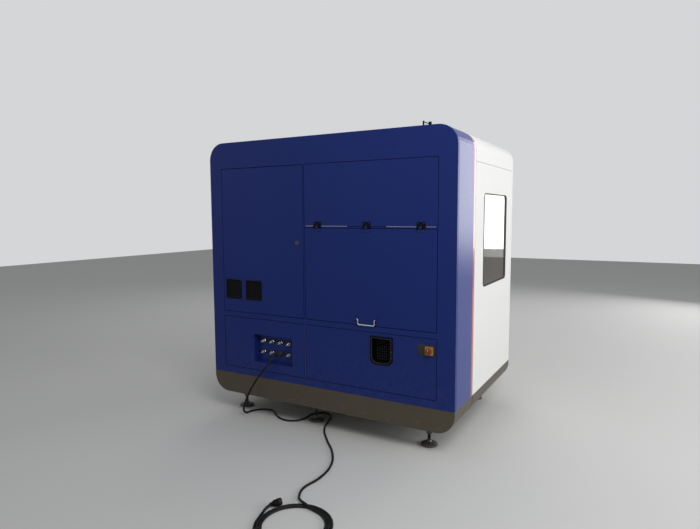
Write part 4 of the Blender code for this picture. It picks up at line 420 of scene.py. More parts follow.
MAKERS = {
    "navy_powder_coat": (navy_coat,),
    # The wrap's navy is the face's paint at 1.35 times its level: painted light for the light falling on the
    # side strip.
    "navy_gloss_coat": (navy_coat, 0.55, 1.35),
    "white_powder_coat": (white_coat,),
    "base_paint": (base_coat,),
    "accent_strip": (accent_strip,),
    "bed_enamel": (hammered_paint,),
    "galvanised_sheet": (galvanised_sheet,),
    "slat_steel": (slat_steel,),
    "cable_jacket": (cable_jacket,),
    "idle_screen": (idle_screen,),
    "amber_plate": (amber_plate,),
    "matt_black": (frame_black,),
    "black_plastic": (moulded_plastic, (0.0022, 0.0022, 0.0026), 0.48),
    "white_plastic": (moulded_plastic, (0.72, 0.72, 0.7), 0.4),
    "red_plastic": (moulded_plastic, (0.52, 0.022, 0.014), 0.34),
    "green_plastic": (moulded_plastic, (0.012, 0.27, 0.065), 0.34),
    "knob_plastic": (moulded_plastic, (0.19, 0.055, 0.022), 0.4),
    "yellow_collar": (moulded_plastic, (0.72, 0.47, 0.02), 0.4),
    # Near-black, nearly without sheen, for the seam beads: painted shade.
    "seam_seal": (moulded_plastic, (0.0012, 0.0012, 0.0016), 0.95),
    # Lighter navy for the divider strip, a painted highlight.
    "divider_trim": (moulded_plastic, (0.055, 0.08, 0.27), 0.5),
    "filter_cloth": (moulded_plastic, (0.0035, 0.0035, 0.004), 0.9, 220.0, 0.0006),
    "plug_rubber": (moulded_plastic, (0.005, 0.005, 0.005), 0.62, 500.0, 0.0001),
    "plug_ring": (moulded_plastic, (0.022, 0.022, 0.024), 0.42),
    "gasket_rubber": (rubber,),
    "foot_pad": (foot_pad,),
    "chrome_plate": (chromed,),
    "nickel_plate": (chromed, (0.4, 0.39, 0.37), (0.6, 0.59, 0.56)),
    "black_oxide": (black_oxide,),
    "ground_steel": (brushed_steel,),
    "aluminium_case": (brushed_steel, (0.62, 0.62, 0.61), (1.0, 0.03, 1.0), 0.42),
    "brass_pins": (brushed_steel, (0.6, 0.44, 0.2), (1.0, 1.0, 0.05), 0.3),
    "copper": (brushed_steel, (0.62, 0.3, 0.17), (1.0, 1.0, 0.1), 0.25),
    "coupling_strip": (powder_coat, (0.012, 0.014, 0.03), 0.5, 0.2, 0.1),
    # The side window's brown tint is partly the glass's smoke and partly a painted reflection of brown
    # surroundings.
    "smoked_pane": (tinted_glass, (0.085, 0.071, 0.052), 0.82),
    "amber_pane": (tinted_glass, (0.1, 0.04, 0.006), 0.72),
}


@functools.cache
def finish(name):
    """A finish from the table, made at its first use."""
    maker, *values = MAKERS[name]
    return maker(name, *values)


def in_scene(name, data):
    made = bpy.data.objects.new(name, data)
    bpy.context.scene.collection.objects.link(made)
    return made


def show(name, form, *finishes, body=CABINET, replaces=(), slot="bright_metal", smooth_angle=35.0):
    """Makes a form a piece with its finishes, riding on a body."""
    mesh = to_mesh(name, form, smooth_angle)
    for look in finishes:
        mesh.materials.append(finish(look))
    made = in_scene(name, mesh)
    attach(made, body)
    if replaces:
        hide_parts(*replaces)
    return made


def to_mesh(name, form, smooth_angle=35.0):
    """Frees a bmesh into a mesh whose faces are smooth up to an angle."""
    bmesh.ops.recalc_face_normals(form, faces=form.faces)
    for face in form.faces:
        face.smooth = True
    for edge in form.edges:
        edge.smooth = len(edge.link_faces) == 2 and edge.calc_face_angle() < math.radians(smooth_angle)
    mesh = bpy.data.meshes.new(name)
    form.to_mesh(mesh)
    form.free()
    return mesh


def at(*place):
    return Matrix.Translation(place)


def aim(direction, place):
    """A turn that takes +Z to a direction, and a move to a place."""
    return at(*place) @ Vector(direction).to_track_quat("Z", "Y").to_matrix().to_4x4()


def out_back(*place):
    """A place from which +Z points out of the service face."""
    return aim((0.0, -1.0, 0.0), place)


def out_front(*place):
    """A place from which +Z points out of the operator's side."""
    return aim((0.0, 1.0, 0.0), place)


def settle(form, part, place, material):
    """Moves a part to its place and joins it to a form."""
    bmesh.ops.transform(part, matrix=place, verts=part.verts)
    for face in part.faces:
        face.material_index = material
    mesh = bpy.data.meshes.new("part")
    part.to_mesh(mesh)
    part.free()
    form.from_mesh(mesh)
    bpy.data.meshes.remove(mesh)


def mm(*pairs):
    """A profile in metres, from pairs in millimetres."""
    return [(radius / 1000, height / 1000) for radius, height in pairs]


def turned(form, profile, sides, place, material=0):
    """Spins a profile of (radius, height) pairs about +Z and puts it in place."""
    part = bmesh.new()
    corners = [part.verts.new((radius, 0.0, height)) for radius, height in profile]
    edges = [part.edges.new(pair) for pair in zip(corners, corners[1:])]
    bmesh.ops.spin(
        part, geom=corners + edges, axis=(0, 0, 1), cent=(0, 0, 0), angle=math.tau, steps=sides,
        use_merge=True,
    )
    bmesh.ops.remove_doubles(part, verts=part.verts, dist=0.000002)
    settle(form, part, place, material)


def soften(part, edges, width, segments):
    bmesh.ops.bevel(
        part, geom=edges, offset=width, segments=segments, profile=0.5, affect="EDGES", material=-1,
    )


def block(form, size, place, bevel=0.0, material=0, segments=2):
    """A box about its own middle, with softened edges."""
    part = bmesh.new()
    bmesh.ops.create_cube(part, size=1.0)
    bmesh.ops.scale(part, vec=size, verts=part.verts)
    if bevel:
        soften(part, part.edges, bevel, segments)
    settle(form, part, place, material)


def plate(form, size, corner, bevel, place, material=0):
    """A plate with round corners seen from the front and a softened front edge."""
    part = bmesh.new()
    bmesh.ops.create_cube(part, size=1.0)
    bmesh.ops.scale(part, vec=size, verts=part.verts)
    upright = [e for e in part.edges if abs(e.verts[0].co.z - e.verts[1].co.z) > size[2] / 2]
    soften(part, upright, corner, 5)
    ahead = [e for e in part.edges if all(v.co.z > size[2] / 3 for v in e.verts)]
    soften(part, [e for e in ahead if e.calc_face_angle() > 1.0], bevel, 2)
    settle(form, part, place, material)


def screw(form, place, radius, material=0):
    """A button-head screw with a six-sided socket."""
    tall = radius * 0.55
    shares = [(0.0, 0.25), (0.45, 0.25), (0.5, 1.0), (0.78, 0.8), (1.0, 0.2), (1.0, 0.0)]
    profile = [(radius * out, tall * up) for out, up in shares]
    turned(form, profile, 12, place, material)


def around(place, count, radius, height=0.0):
    """Places set evenly round a place's own +Z."""
    out = at(radius, 0.0, height)
    for step in range(count):
        yield place @ Matrix.Rotation(math.tau * step / count, 4, "Z") @ out


def ribs(form, place, count, radius, height, size, bevel):
    for spoke in around(place, count, radius, height):
        block(form, size, spoke, bevel, segments=1)


def corners(low, high, inset):
    """The four corners of an upright box's outline, moved in."""
    return [(x, z) for x in (low.x + inset, high.x - inset) for z in (low.z + inset, high.z - inset)]


def wire(name, radius, roundness, look):
    """A curve that is drawn as a round bar."""
    path = bpy.data.curves.new(name, "CURVE")
    path.dimensions = "3D"
    path.bevel_depth = radius
    path.bevel_resolution = roundness
    path.materials.append(finish(look))
    return path


def outline_rail(name, outline, radius, look, body=CABINET):
    """A closed bead of round section along an outline."""
    path = wire(name, radius, 2, look)
    spline = path.splines.new("POLY")
    spline.points.add(len(outline) - 1)
    for knot, place in zip(spline.points, outline):
        knot.co = (*place, 1.0)
    spline.use_cyclic_u = True
    bead = in_scene(name, path)
    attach(bead, body)


def rim(node, inset, corner, steps=6, across=0):
    """A node's outline with round corners, moved in: places along X, or Y, and Z."""
    low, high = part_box(node)
    left, right = low[across] + inset + corner, high[across] - inset - corner
    base, top = low.z + inset + corner, high.z - inset - corner
    middles = [(right, top, 0), (left, top, 90), (left, base, 180), (right, base, 270)]
    outline = []
    for a, b, first in middles:
        for step in range(steps + 1):
            turn = math.radians(first + 90 * step / steps)
            outline.append((a + corner * math.cos(turn), b + corner * math.sin(turn)))
    return outline


class SupplyLead(bpy.types.PropertyGroup):
    """Sizes of the supply lead, in metres."""

    diameter: FloatProperty(
        name="Diameter", description="Across the jacket", subtype="DISTANCE", unit="LENGTH",
        default=0.013, min=0.004,
    )
    turn: FloatProperty(
        name="First turn", description="Radius of the coil's inner turn", subtype="DISTANCE", unit="LENGTH",
        default=0.1425, min=0.1,
    )
    wound: FloatProperty(
        name="Wound angle", description="How far the coil goes round", subtype="ANGLE",
        default=math.radians(980.0),
    )


LEAD_EXIT = (-0.334, -0.6499, 0.468)
COIL_CENTRE = (0.47, -1.6)
PLUG_REAR = Vector((0.2813, -1.5336, 0.0183))
PLUG_HEADING = Vector((0.4695, 0.8829, 0.0))
LEAD_FALL = [
    LEAD_EXIT, (-0.3345, -0.674, 0.466), (-0.342, -0.7, 0.451), (-0.36, -0.717, 0.422),
    (-0.387, -0.7235, 0.387), (-0.44, -0.724, 0.322), (-0.505, -0.718, 0.236), (-0.563, -0.706, 0.144),
    (-0.603, -0.69, 0.066), (-0.625, -0.64, 0.018), (-0.622, -0.575, 0.009),
]
LEAD_ON_FLOOR = [
    (-0.575, -0.51), (-0.5, -0.5), (-0.43, -0.55), (-0.35, -0.595), (-0.265, -0.59), (-0.212, -0.52),
    (-0.214, -0.43), (-0.16, -0.365), (-0.085, -0.38), (-0.045, -0.47), (0.0, -0.595), (0.11, -0.74),
    (0.235, -0.88), (0.315, -1.03), (0.335, -1.18), (0.32, -1.31),
]
COIL_START = [
    (119.5, 0.24, 0.0085), (118.0, 0.206, 0.0165), (113.5, 0.177, 0.0212), (105.0, 0.157, 0.0205),
    (92.0, 0.146, 0.013),
]
COIL_END = [(178.0, 0.186, 0.0092), (169.0, 0.1935, 0.015)]
LYING_HEIGHT = 0.0068
FLOOR_GAP = 0.0006
TURN_GAP = 0.0007


def round_coil(degrees, radius, height):
    """A place over the coil's plan."""
    turn = math.radians(degrees)
    return (COIL_CENTRE[0] + radius * math.cos(turn), COIL_CENTRE[1] + radius * math.sin(turn), height)


class LASER_OT_supply_lead(bpy.types.Operator):
    """The black supply lead: out of its gland, along the floor, into its coil and to its plug"""

    bl_idname = "laser.supply_lead"
    bl_label = "Supply lead"

    def execute(self, context):
        sizes = context.scene.laser_lead
        floor = sizes.diameter / 2 + FLOOR_GAP
        route = LEAD_FALL + [(x, y, LYING_HEIGHT) for x, y in LEAD_ON_FLOOR]
        route += [round_coil(*knot) for knot in COIL_START]
        steps = 54
        for step in range(1, steps + 1):
            share = step / steps
            radius = sizes.turn + (sizes.diameter + TURN_GAP) * share * sizes.wound / math.tau
            route.append(round_coil(90 - math.degrees(sizes.wound) * share, radius, floor))
        route += [round_coil(*knot) for knot in COIL_END]
        route.append(PLUG_REAR + PLUG_HEADING * 0.002)
        path = wire("supply_lead", sizes.diameter / 2, 4, "cable_jacket")
        path.resolution_u = 5
        path.use_fill_caps = True
        spline = path.splines.new("BEZIER")
        spline.bezier_points.add(len(route) - 1)
        for knot, place in zip(spline.bezier_points, route):
            knot.co = place
            knot.handle_left_type = knot.handle_right_type = "AUTO"
        lead = in_scene("supply_lead_cable", path)
        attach(lead, CABINET)
        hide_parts("supply_lead", "lead_coil")
        return {"FINISHED"}


class StudioStage(bpy.types.PropertyGroup):
    """The studio's floor, light and camera."""

    floor: FloatVectorProperty(
        name="Floor", description="Plain pale floor", subtype="COLOR", size=3, min=0, max=1,
        default=(0.62, 0.62, 0.61),
    )
    soft: FloatProperty(name="Soft light", description="Light from all round", default=0.27, min=0.0)
    key: FloatProperty(name="Key light", description="Lamp at the right", subtype="POWER", default=146.0)
    fill: FloatProperty(name="Fill light", description="Lamp in front", subtype="POWER", default=92.0)
    doorway: FloatProperty(name="Doorway light", description="Lamp behind", subtype="POWER", default=92.0)
    lens: FloatProperty(name="Lens", description="Focal length in millimetres", default=27.72, min=1.0)
    eye: FloatVectorProperty(
        name="Camera", description="Place of the camera", subtype="TRANSLATION", size=3,
        default=(1.841, -3.497, 1.41),
    )
    yaw: FloatProperty(name="Yaw", description="Left turn", subtype="ANGLE", default=math.radians(29.49))
    pitch: FloatProperty(name="Pitch", description="Tilt down", subtype="ANGLE", default=math.radians(5.34))
    roll: FloatProperty(name="Roll", description="Lean", subtype="ANGLE", default=math.radians(-0.27))


def soft_lamp(name, place, target, size, power):
    lamp = bpy.data.lights.new(name, "AREA")
    lamp.shape = "RECTANGLE"
    lamp.size, lamp.size_y = size
    lamp.energy = power
    made = in_scene(name, lamp)
    made.matrix_world = aim(Vector(place) - Vector(target), place)
    return made


class LASER_OT_stage(bpy.types.Operator):
    """Plain floor, soft lamps, pale background and the photograph's camera"""

    bl_idname = "laser.stage"
    bl_label = "Studio stage"

    def execute(self, context):
        sizes = context.scene.laser_stage
        ground = bmesh.new()
        bmesh.ops.create_grid(ground, x_segments=1, y_segments=1, size=14.0)
        stone = Finish("studio_floor", 0.75)
        tone = stone.noise(0.9)
        stone.set("Base Color", tone.mixed(shade(sizes.floor, 0.985), shade(sizes.floor, 1.015)))
        floor = in_scene("studio_floor", to_mesh("studio_floor", ground))
        floor.data.materials.append(stone.material)

        context.scene.world = world = bpy.data.worlds.new("studio")
        world.use_nodes = True
        world.node_tree.nodes.clear()
        studio = Nodes(world.node_tree)
        rays = studio.node("ShaderNodeLightPath").socket.node.outputs
        seen = Value(studio, rays["Is Camera Ray"])
        for name in ("Is Glossy Ray", "Is Transmission Ray"):
            seen = seen.maths("MAXIMUM", Value(studio, rays[name]))
        lit, shown = (
            studio.node("ShaderNodeBackground", sockets={"Color": colour, "Strength": strength})
            for colour, strength in (((0.97, 0.985, 1.0, 1.0), sizes.soft), ((0.66, 0.67, 0.68, 1.0), 1.0))
        )
        light = studio.node("ShaderNodeMixShader", sockets={0: seen, 1: lit, 2: shown})
        studio.node("ShaderNodeOutputWorld", sockets={"Surface": light})

        soft_lamp("key_lamp", (6.2, 0.4, 2.3), (0.9, 0.0, 0.9), (3.2, 2.6), sizes.key)
        soft_lamp("fill_lamp", (2.7, -2.9, 3.8), (0.6, -0.6, 1.4), (2.2, 1.6), sizes.fill)
        soft_lamp("back_lamp", (-2.5, 4.8, 3.8), (0.0, 0.0, 1.0), (4.0, 2.4), sizes.fill * 0.6)
        doorway = soft_lamp("doorway_lamp", (3.2, 6.0, 2.35), (1.2, 0.0, 1.6), (3.0, 3.2), sizes.doorway)
        doorway.visible_camera = False

        lens = bpy.data.cameras.new("photograph")
        lens.sensor_width = 36.0
        lens.lens = sizes.lens
        lens.clip_start, lens.clip_end = 0.05, 60.0
        camera = in_scene("photograph", lens)
        camera.matrix_world = (
            at(*sizes.eye) @ Matrix.Rotation(sizes.yaw, 4, "Z")
            @ Matrix.Rotation(math.pi / 2 - sizes.pitch, 4, "X") @ Matrix.Rotation(sizes.roll, 4, "Z")
        )
        context.scene.camera = camera
        context.scene.view_settings.view_transform = "Standard"
        return {"FINISHED"}


COATED_NODES = {
    "navy_gloss_coat": ["service_wrap"],
    "navy_powder_coat": [
        "service_face", "service_door", "connection_panel", "hatch", "upper_panel", "lower_panel",
    ],
    "white_powder_coat": [
        "roof_cover", "right_side_panel", "left_side_panel", "front_fascia", "front_door_left",
        "front_door_right", "operator_console",
    ],
    "base_paint": ["service_plinth", "main_plinth", "scrap_drawer"],
    "accent_strip": ["accent_stripe"],
    "black_plastic": [
        "fan_grille_1", "fan_grille_2", "fan_rotor_1", "fan_rotor_2", "exhaust_port", "hatch_hinge_1",
        "hatch_hinge_2", "hatch_hinge_3", "switch_plate", "lamp_socket", "lead_gland", "lead_plug",
    ],
    "black_oxide": ["door_lock"],
    "chrome_plate": ["hatch_handle", "coupling_row_upper", "coupling_row_lower"],
    "galvanised_sheet": ["bulkhead", "electrical_panel"],
    "slat_steel": ["slat_table"],
    "bed_enamel": ["machine_bed", "gantry_beam"],
    "ground_steel": ["linear_rail_left", "linear_rail_right", "head_carriage"],
    "aluminium_case": ["laser_source", "cutting_head"],
    "smoked_pane": ["side_window"],
    "amber_pane": ["front_glass_left", "front_glass_right"],
    "foot_pad": [f"levelling_foot_{number}" for number in range(1, 7)],
    "red_plastic": ["e_stop_button", "switch_knob", "stop_button"],
    "green_plastic": ["start_button"],
    "idle_screen": ["console_screen"],
}


class LASER_OT_finishes(bpy.types.Operator):
    """Coats, enamel, steel, glass and plastic for the solids"""

    bl_idname = "laser.finishes"
    bl_label = "Finishes"

    def execute(self, context):
        for look, nodes in COATED_NODES.items():
            for node in nodes:
                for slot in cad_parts[node].material_slots:
                    slot.material = finish(look)
        return {"FINISHED"}


SERVICE_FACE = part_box("service_face")[0].y
OPERATOR_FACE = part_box("front_fascia")[1].y
HATCH_GLINT_GAP = (0.205, 0.47)
FIRST_COUPLING = -0.476
COUPLING_PITCH = 0.071
SPARE_NUT = 0.074
GLASS_LAP = 0.015
THREAD_PITCH = 0.0025


class ServiceFurniture(bpy.types.PropertyGroup):
    """Sizes of the service face's small hardware, in metres."""

    screw: FloatProperty(
        name="Screw head", description="Radius of a hinge screw's head", subtype="DISTANCE", unit="LENGTH",
        default=0.0032, min=0.001,
    )
    bore: FloatProperty(
        name="Coupling bore", description="Radius of a coupling's mouth", subtype="DISTANCE", unit="LENGTH",
        default=0.0048, min=0.001,
    )
    knurls: IntProperty(name="Knurls", description="Teeth round a coupling's collar", default=24, min=6)
    amber: FloatVectorProperty(
        name="Amber", description="The main switch's front plate", subtype="COLOR", size=3, min=0, max=1,
        default=(0.32, 0.175, 0.048),
    )


class LASER_OT_hatch_furniture(bpy.types.Operator):
    """The hatch's hinge screws, bright steel strips on its top edge as painted glints, near-black beads in
    the panels' seams as painted shade, and a lighter strip at the divider as a painted highlight
    """

    bl_idname = "laser.hatch_furniture"
    bl_label = "Hatch furniture"

    def execute(self, context):
        sizes = context.scene.laser_service
        upper, lower, glint_strips, divider = (bmesh.new() for _ in range(4))
        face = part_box("hatch_hinge_1")[0].y + 0.01
        for number in (1, 2, 3):
            low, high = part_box(f"hatch_hinge_{number}")
            middle = (low.x + high.x) / 2
            for side in (-0.016, 0.0, 0.016):
                rise = 0.008 if side else 0.016
                screw(upper, out_back(middle + side, face, high.z - rise), sizes.screw)
                screw(lower, out_back(middle + side, face + 0.0003, low.z - 0.004 - rise), sizes.screw)
        show("hinge_screws_upper", upper, "black_oxide")
        show("hinge_screws_hatch", lower, "black_oxide", body="hatch")
        # Two bright steel strips along the hatch's top edge, with a gap between them: painted glints where
        # the bent edge catches light.
        low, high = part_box("hatch")
        left_end, right_end = HATCH_GLINT_GAP
        for start, stop in ((low.x + 0.006, left_end), (right_end, high.x - 0.006)):
            middle = ((start + stop) / 2, SERVICE_FACE - 0.0004, high.z - 0.0024)
            block(glint_strips, (stop - start, 0.0014, 0.0032), at(*middle), 0.0003, segments=1)
        show("hatch_edge_painted_glint", glint_strips, "ground_steel", body="hatch")
        # Near-black beads round the panels: painted shade for the dark gaps between the panels.
        for node in ("upper_panel", "lower_panel", "connection_panel"):
            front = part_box(node)[0].y + 0.0006
            outline = [(x, front, z) for x, z in rim(node, -0.0008, 0.003, 2)]
            outline_rail(node + "_seal", outline, 0.0018, "seam_seal")
        # A lighter navy strip between the connection panel and the lower panel: a painted highlight for the
        # light caught by the bent edge.
        left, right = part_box("connection_panel"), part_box("lower_panel")
        middle = ((left[1].x + right[0].x) / 2, SERVICE_FACE - 0.0005, (right[0].z + right[1].z) / 2)
        plate(divider, (0.0042, right[1].z - right[0].z, 0.002), 0.0008, 0.0004, out_back(*middle))
        show("divider_trim", divider, "divider_trim", slot="black_plastic")
        return {"FINISHED"}


class LASER_OT_couplings(bpy.types.Operator):
    """Two rows of gas and water couplings: hexagon, knurled collar and hollow spigot"""

    bl_idname = "laser.couplings"
    bl_label = "Couplings"

    def coupling(self, form, place, sizes):
        nut = mm((0, 0), (12.5, 0), (13, 0.8), (13, 8.8), (11.8, 10), (0, 10))
        turned(form, nut, 6, place)
        ribs(form, place, sizes.knurls, 0.0099, 0.0165, (0.0014, 0.0014, 0.0085), 0.0003)
        bore = sizes.bore
        body = [
            (0.0, 0.018), (bore, 0.018), (bore, 0.034), (bore + 0.0008, 0.0348), (0.0068, 0.0348),
            (0.0074, 0.034), (0.0074, 0.0318), (0.0066, 0.0308), (0.0066, 0.0285), (0.008, 0.0275),
            (0.008, 0.0235), (0.0097, 0.0222), (0.0099, 0.0212), (0.0099, 0.0118), (0.009, 0.0108),
            (0.009, 0.0095),
        ]
        turned(form, body, 24, place)

    def execute(self, context):
        sizes = context.scene.laser_service
        for row, node in enumerate(("coupling_row_lower", "coupling_row_upper")):
            low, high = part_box(node)
            height, wall = (low.z + high.z) / 2, high.y
            form = bmesh.new()
            middle = ((low.x + high.x) / 2, wall - 0.0015, height)
            plate(form, (high.x - low.x, 0.02, 0.003), 0.004, 0.0006, out_back(*middle), 2)
            for number in range(4):
                x = FIRST_COUPLING + COUPLING_PITCH * number
                if (row, number) != (0, 2):  # the lead's gland sits there
                    self.coupling(form, out_back(x, wall - 0.003, height), sizes)
                if number < 3:
                    screw(form, out_back(x + COUPLING_PITCH / 2, wall - 0.003, height), 0.0024, 1)
            show(node + "_fine", form, "nickel_plate", "black_oxide", "coupling_strip", replaces=[node])
        return {"FINISHED"}


class LASER_OT_service_door_furniture(bpy.types.Operator):
    """Screws and a mesh filter in the two fan grilles, and the lock's rose"""

    bl_idname = "laser.service_door_furniture"
    bl_label = "Service door furniture"

    def execute(self, context):
        screws, pads, rose = bmesh.new(), bmesh.new(), bmesh.new()
        for number in (1, 2):
            low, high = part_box(f"fan_grille_{number}")
            for x, z in corners(low, high, 0.0035):
                screw(screws, out_back(x, low.y, z), 0.002)
            middle = ((low.x + high.x) / 2, low.y + 0.0115, (low.z + high.z) / 2)
            reach = high.x - low.x - 0.024
            block(pads, (reach, reach, 0.003), out_back(*middle), 0.0008)
        show("grille_screws", screws, "black_oxide", body="service_door")
        show("grille_filters", pads, "filter_cloth", body="service_door", slot="black_plastic")
        low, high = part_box("door_lock")
        ring = mm((12.2, 0), (12.2, 2.2), (13.2, 3), (15, 2.4), (15.8, 0), (12.2, 0))
        turned(rose, ring, 32, out_back((low.x + high.x) / 2, SERVICE_FACE - 0.0002, high.z - 0.012))
        show("lock_rose", rose, "black_oxide", body="service_door")
        return {"FINISHED"}


class LASER_OT_exhaust_port(bpy.types.Operator):
    """The extraction outlet's soft lip, its screws and the bird mesh inside"""

    bl_idname = "laser.exhaust_port"
    bl_label = "Exhaust port"

    def execute(self, context):
        low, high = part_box("exhaust_port")
        across, front = (low.x + high.x) / 2, low.y
        half, corner = 0.0645, 0.036
        base, top = low.z + 0.01, high.z - 0.01
        outline = [(across + half, front - 0.0005, top), (across - half, front - 0.0005, top)]
        for middle, first in ((across - half + corner, 180), (across + half - corner, 270)):
            for step in range(7):
                turn = math.radians(first + 15 * step)
                sides = (middle + corner * math.cos(turn), base + corner + corner * math.sin(turn))
                outline.append((sides[0], front - 0.0005, sides[1]))
        outline_rail("exhaust_lip", outline, 0.0022, "matt_black")
        screws, mesh_wires = bmesh.new(), bmesh.new()
        for x in (low.x + 0.005, high.x - 0.005):
            for z in (top - 0.008, (base + top) / 2, base + corner + 0.004):
                screw(screws, out_back(x, front, z), 0.0028)
        show("exhaust_screws", screws, "black_oxide")
        pitch = 0.0155
        for step in range(-3, 4):
            past = max(abs(step) * pitch - (half - corner), 0.0)
            lowest = base + corner - math.sqrt(corner * corner - past * past)
            place = at(across + step * pitch, front + 0.046, (lowest + top) / 2)
            block(mesh_wires, (0.0016, 0.0016, top - lowest), place)
        for step in range(1, 10):
            z = base + pitch * step
            past = max(base + corner - z, 0.0)
            reach = half - corner + math.sqrt(corner * corner - past * past)
            block(mesh_wires, (2 * reach, 0.0016, 0.0016), at(across, front + 0.0476, z))
        show("exhaust_mesh", mesh_wires, "matt_black")
        return {"FINISHED"}


class LASER_OT_main_switch(bpy.types.Operator):
    """The main switch: black plate, amber front, red knob with its grip"""

    bl_idname = "laser.main_switch"
    bl_label = "Main switch"

    def execute(self, context):
        low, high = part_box("switch_plate")
        hub = middle_of("switch_knob")
        panel = high.y
        form, knob = bmesh.new(), bmesh.new()
        middle = ((low.x + high.x) / 2, panel - 0.002, (low.z + high.z) / 2)
        plate(form, (high.x - low.x, high.z - low.z, 0.004), 0.005, 0.0008, out_back(*middle))
        plate(form, (0.056, 0.056, 0.0085), 0.006, 0.0015, out_back(hub.x, panel - 0.0076, hub.z))
        plate(form, (0.05, 0.05, 0.002), 0.004, 0.0005, out_back(hub.x, panel - 0.0126, hub.z), 1)
        label = low.x + 0.024
        plate(form, (0.03, 0.046, 0.002), 0.003, 0.0005, out_back(label, panel - 0.0048, hub.z))
        for row in (-0.012, 0.0, 0.012):
            line = out_back(label, panel - 0.0062, hub.z + row)
            block(form, (0.022, 0.0026, 0.0012), line, 0.0003)
        for x, z in corners(low, high, 0.0045):
            screw(form, out_back(x, panel - 0.004, z), 0.0022, 2)
        show(
            "main_switch_front", form, "matt_black", "amber_plate", "black_oxide",
            replaces=["switch_plate"], slot="black_plastic",
        )
        disc = mm((0, 0), (17.2, 0), (17.8, 1.2), (17, 11.8), (15, 13.8), (0, 13.8))
        base = SERVICE_FACE - 0.0147
        turned(knob, disc, 40, out_back(hub.x, base, hub.z))
        plate(knob, (0.0105, 0.034, 0.01), 0.004, 0.0022, out_back(hub.x, base - 0.0186, hub.z))
        mark = out_back(hub.x, base - 0.0237, hub.z + 0.009)
        block(knob, (0.002, 0.012, 0.0006), mark, 0.0002, 1)
        show(
            "main_switch_knob", knob, "knob_plastic", "white_plastic",
            body="switch_knob", replaces=["switch_knob"], slot="red_plastic",
        )
        return {"FINISHED"}


class LASER_OT_levelling_feet(bpy.types.Operator):
    """Six levelling feet: nylon pads, ball sockets, threaded studs and their nuts"""

    bl_idname = "laser.levelling_feet"
    bl_label = "Levelling feet"

    def execute(self, context):
        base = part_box("service_plinth")[0].z
        pad = mm(
            (0, 0), (50, 0), (51.6, 1), (51.8, 6), (50.8, 7.2), (51.2, 8), (51.2, 10.8), (49, 13),
            (33, 18.2), (23.8, 21.2), (22.8, 23.6), (16, 24),
        )
        stud = mm((16, 23.6), (15, 26.2), (12, 29), (10.8, 31), (10.8, 35))
        rise = 0.0355
        while rise < base + 0.01:
            stud += [(0.0108, rise), (0.0094, rise + THREAD_PITCH * 0.5)]
            rise += THREAD_PITCH
        stud.append((0.0108, rise))
        nut = mm((10.4, 0), (18.2, 0), (19.8, 1.4), (19.8, 12.4), (18.2, 13.8), (10.4, 13.8))
        washer = mm((10.4, 0), (23.5, 0), (24, 0.6), (24, 2.2), (10.4, 2.6))
        for number in range(1, 7):
            node = f"levelling_foot_{number}"
            place = at(*middle_of(node).xy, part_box(node)[0].z)
            form = bmesh.new()
            turned(form, pad, 40, place)
            turned(form, stud, 20, place, 1)
            turned(form, nut, 6, place @ at(0, 0, SPARE_NUT), 1)
            lock_nut = at(0, 0, base - 0.0168) @ Matrix.Rotation(0.4, 4, "Z")
            turned(form, nut, 6, place @ lock_nut, 1)
            turned(form, washer, 28, place @ at(0, 0, base - 0.0028), 1)
            show(
                node + "_fine", form, "foot_pad", "black_oxide",
                replaces=[node], slot="black_plastic", smooth_angle=32.0,
            )
        return {"FINISHED"}


class LASER_OT_lead_ends(bpy.types.Operator):
    """The supply lead's plug and the gland with its bend relief"""

    bl_idname = "laser.lead_ends"
    bl_label = "Lead ends"

    def execute(self, context):
        cable = context.scene.laser_lead.diameter / 2
        place = aim(PLUG_HEADING, PLUG_REAR)
        form = bmesh.new()
        tail = [(cable + 0.0004, -0.001)]
        for ring in range(4):
            rise = 0.0004 + 0.0044 * ring
            wide = cable + 0.0018 + 0.001 * ring
            neck = wide - 0.0012
            tail += [(wide, rise), (wide, rise + 0.0026), (neck, rise + 0.003), (neck, rise + 0.0042)]
        body = mm(
            (12.8, 18), (14.2, 19.6), (16, 21.6), (16, 23.6), (15, 24.8), (15, 33), (16.2, 34.4),
            (17.2, 35.2), (17.6, 36.2), (17.6, 42),
        )
        collar = mm((17.4, 42), (17.8, 42.6), (17.8, 55.6), (17, 59), (14.8, 59))
        well = mm((14.8, 59), (14.4, 44), (0, 44))
        turned(form, tail + body, 28, place)
        turned(form, collar, 28, place, 1)
        turned(form, well, 28, place, 2)
        ribs(form, place, 12, 0.0152, 0.029, (0.0016, 0.0026, 0.0076), 0.0005)
        pin = mm((0, 56), (1.6, 56), (2.4, 55.2), (2.4, 43.6))
        for spoke in around(place, 5, 0.0088):
            turned(form, pin, 12, spoke, 3)
        plug = show(
            "lead_plug_fine", form, "plug_rubber", "plug_ring", "matt_black", "brass_pins",
            replaces=["lead_plug"], slot="black_plastic",
        )

        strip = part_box("lead_gland")[1].y + 0.0003
        place = out_back(LEAD_EXIT[0], strip, LEAD_EXIT[2])
        form = bmesh.new()
        nut = mm((0, 0.3), (15, 0.3), (16, 1.2), (16, 11), (15, 12), (13, 12.4))
        turned(form, nut, 6, place)
        dome = mm((12.8, 11.8), (13.6, 12.8), (13.8, 20), (12.6, 24.6), (10.8, 26.2))
        run = strip - 0.0003 - LEAD_EXIT[1]
        steps = 9
        for ring in range(steps):
            rise = 0.0262 + (run - 0.0275) * ring / steps
            wide = 0.0106 + (cable + 0.0022 - 0.0106) * ring / steps
            neck = wide - 0.0009
            dome += [(wide, rise), (wide, rise + 0.0013), (neck, rise + 0.0016), (neck, rise + 0.0023)]
        dome += [(cable + 0.001, run - 0.0002), (cable + 0.0002, run)]
        turned(form, dome, 28, place)
        ribs(form, place, 14, 0.0139, 0.0166, (0.0012, 0.0016, 0.0066), 0.0003)
        gland = show(
            "lead_gland_fine", form, "matt_black",
            replaces=["lead_gland"], slot="black_plastic",
        )
        return {"FINISHED"}


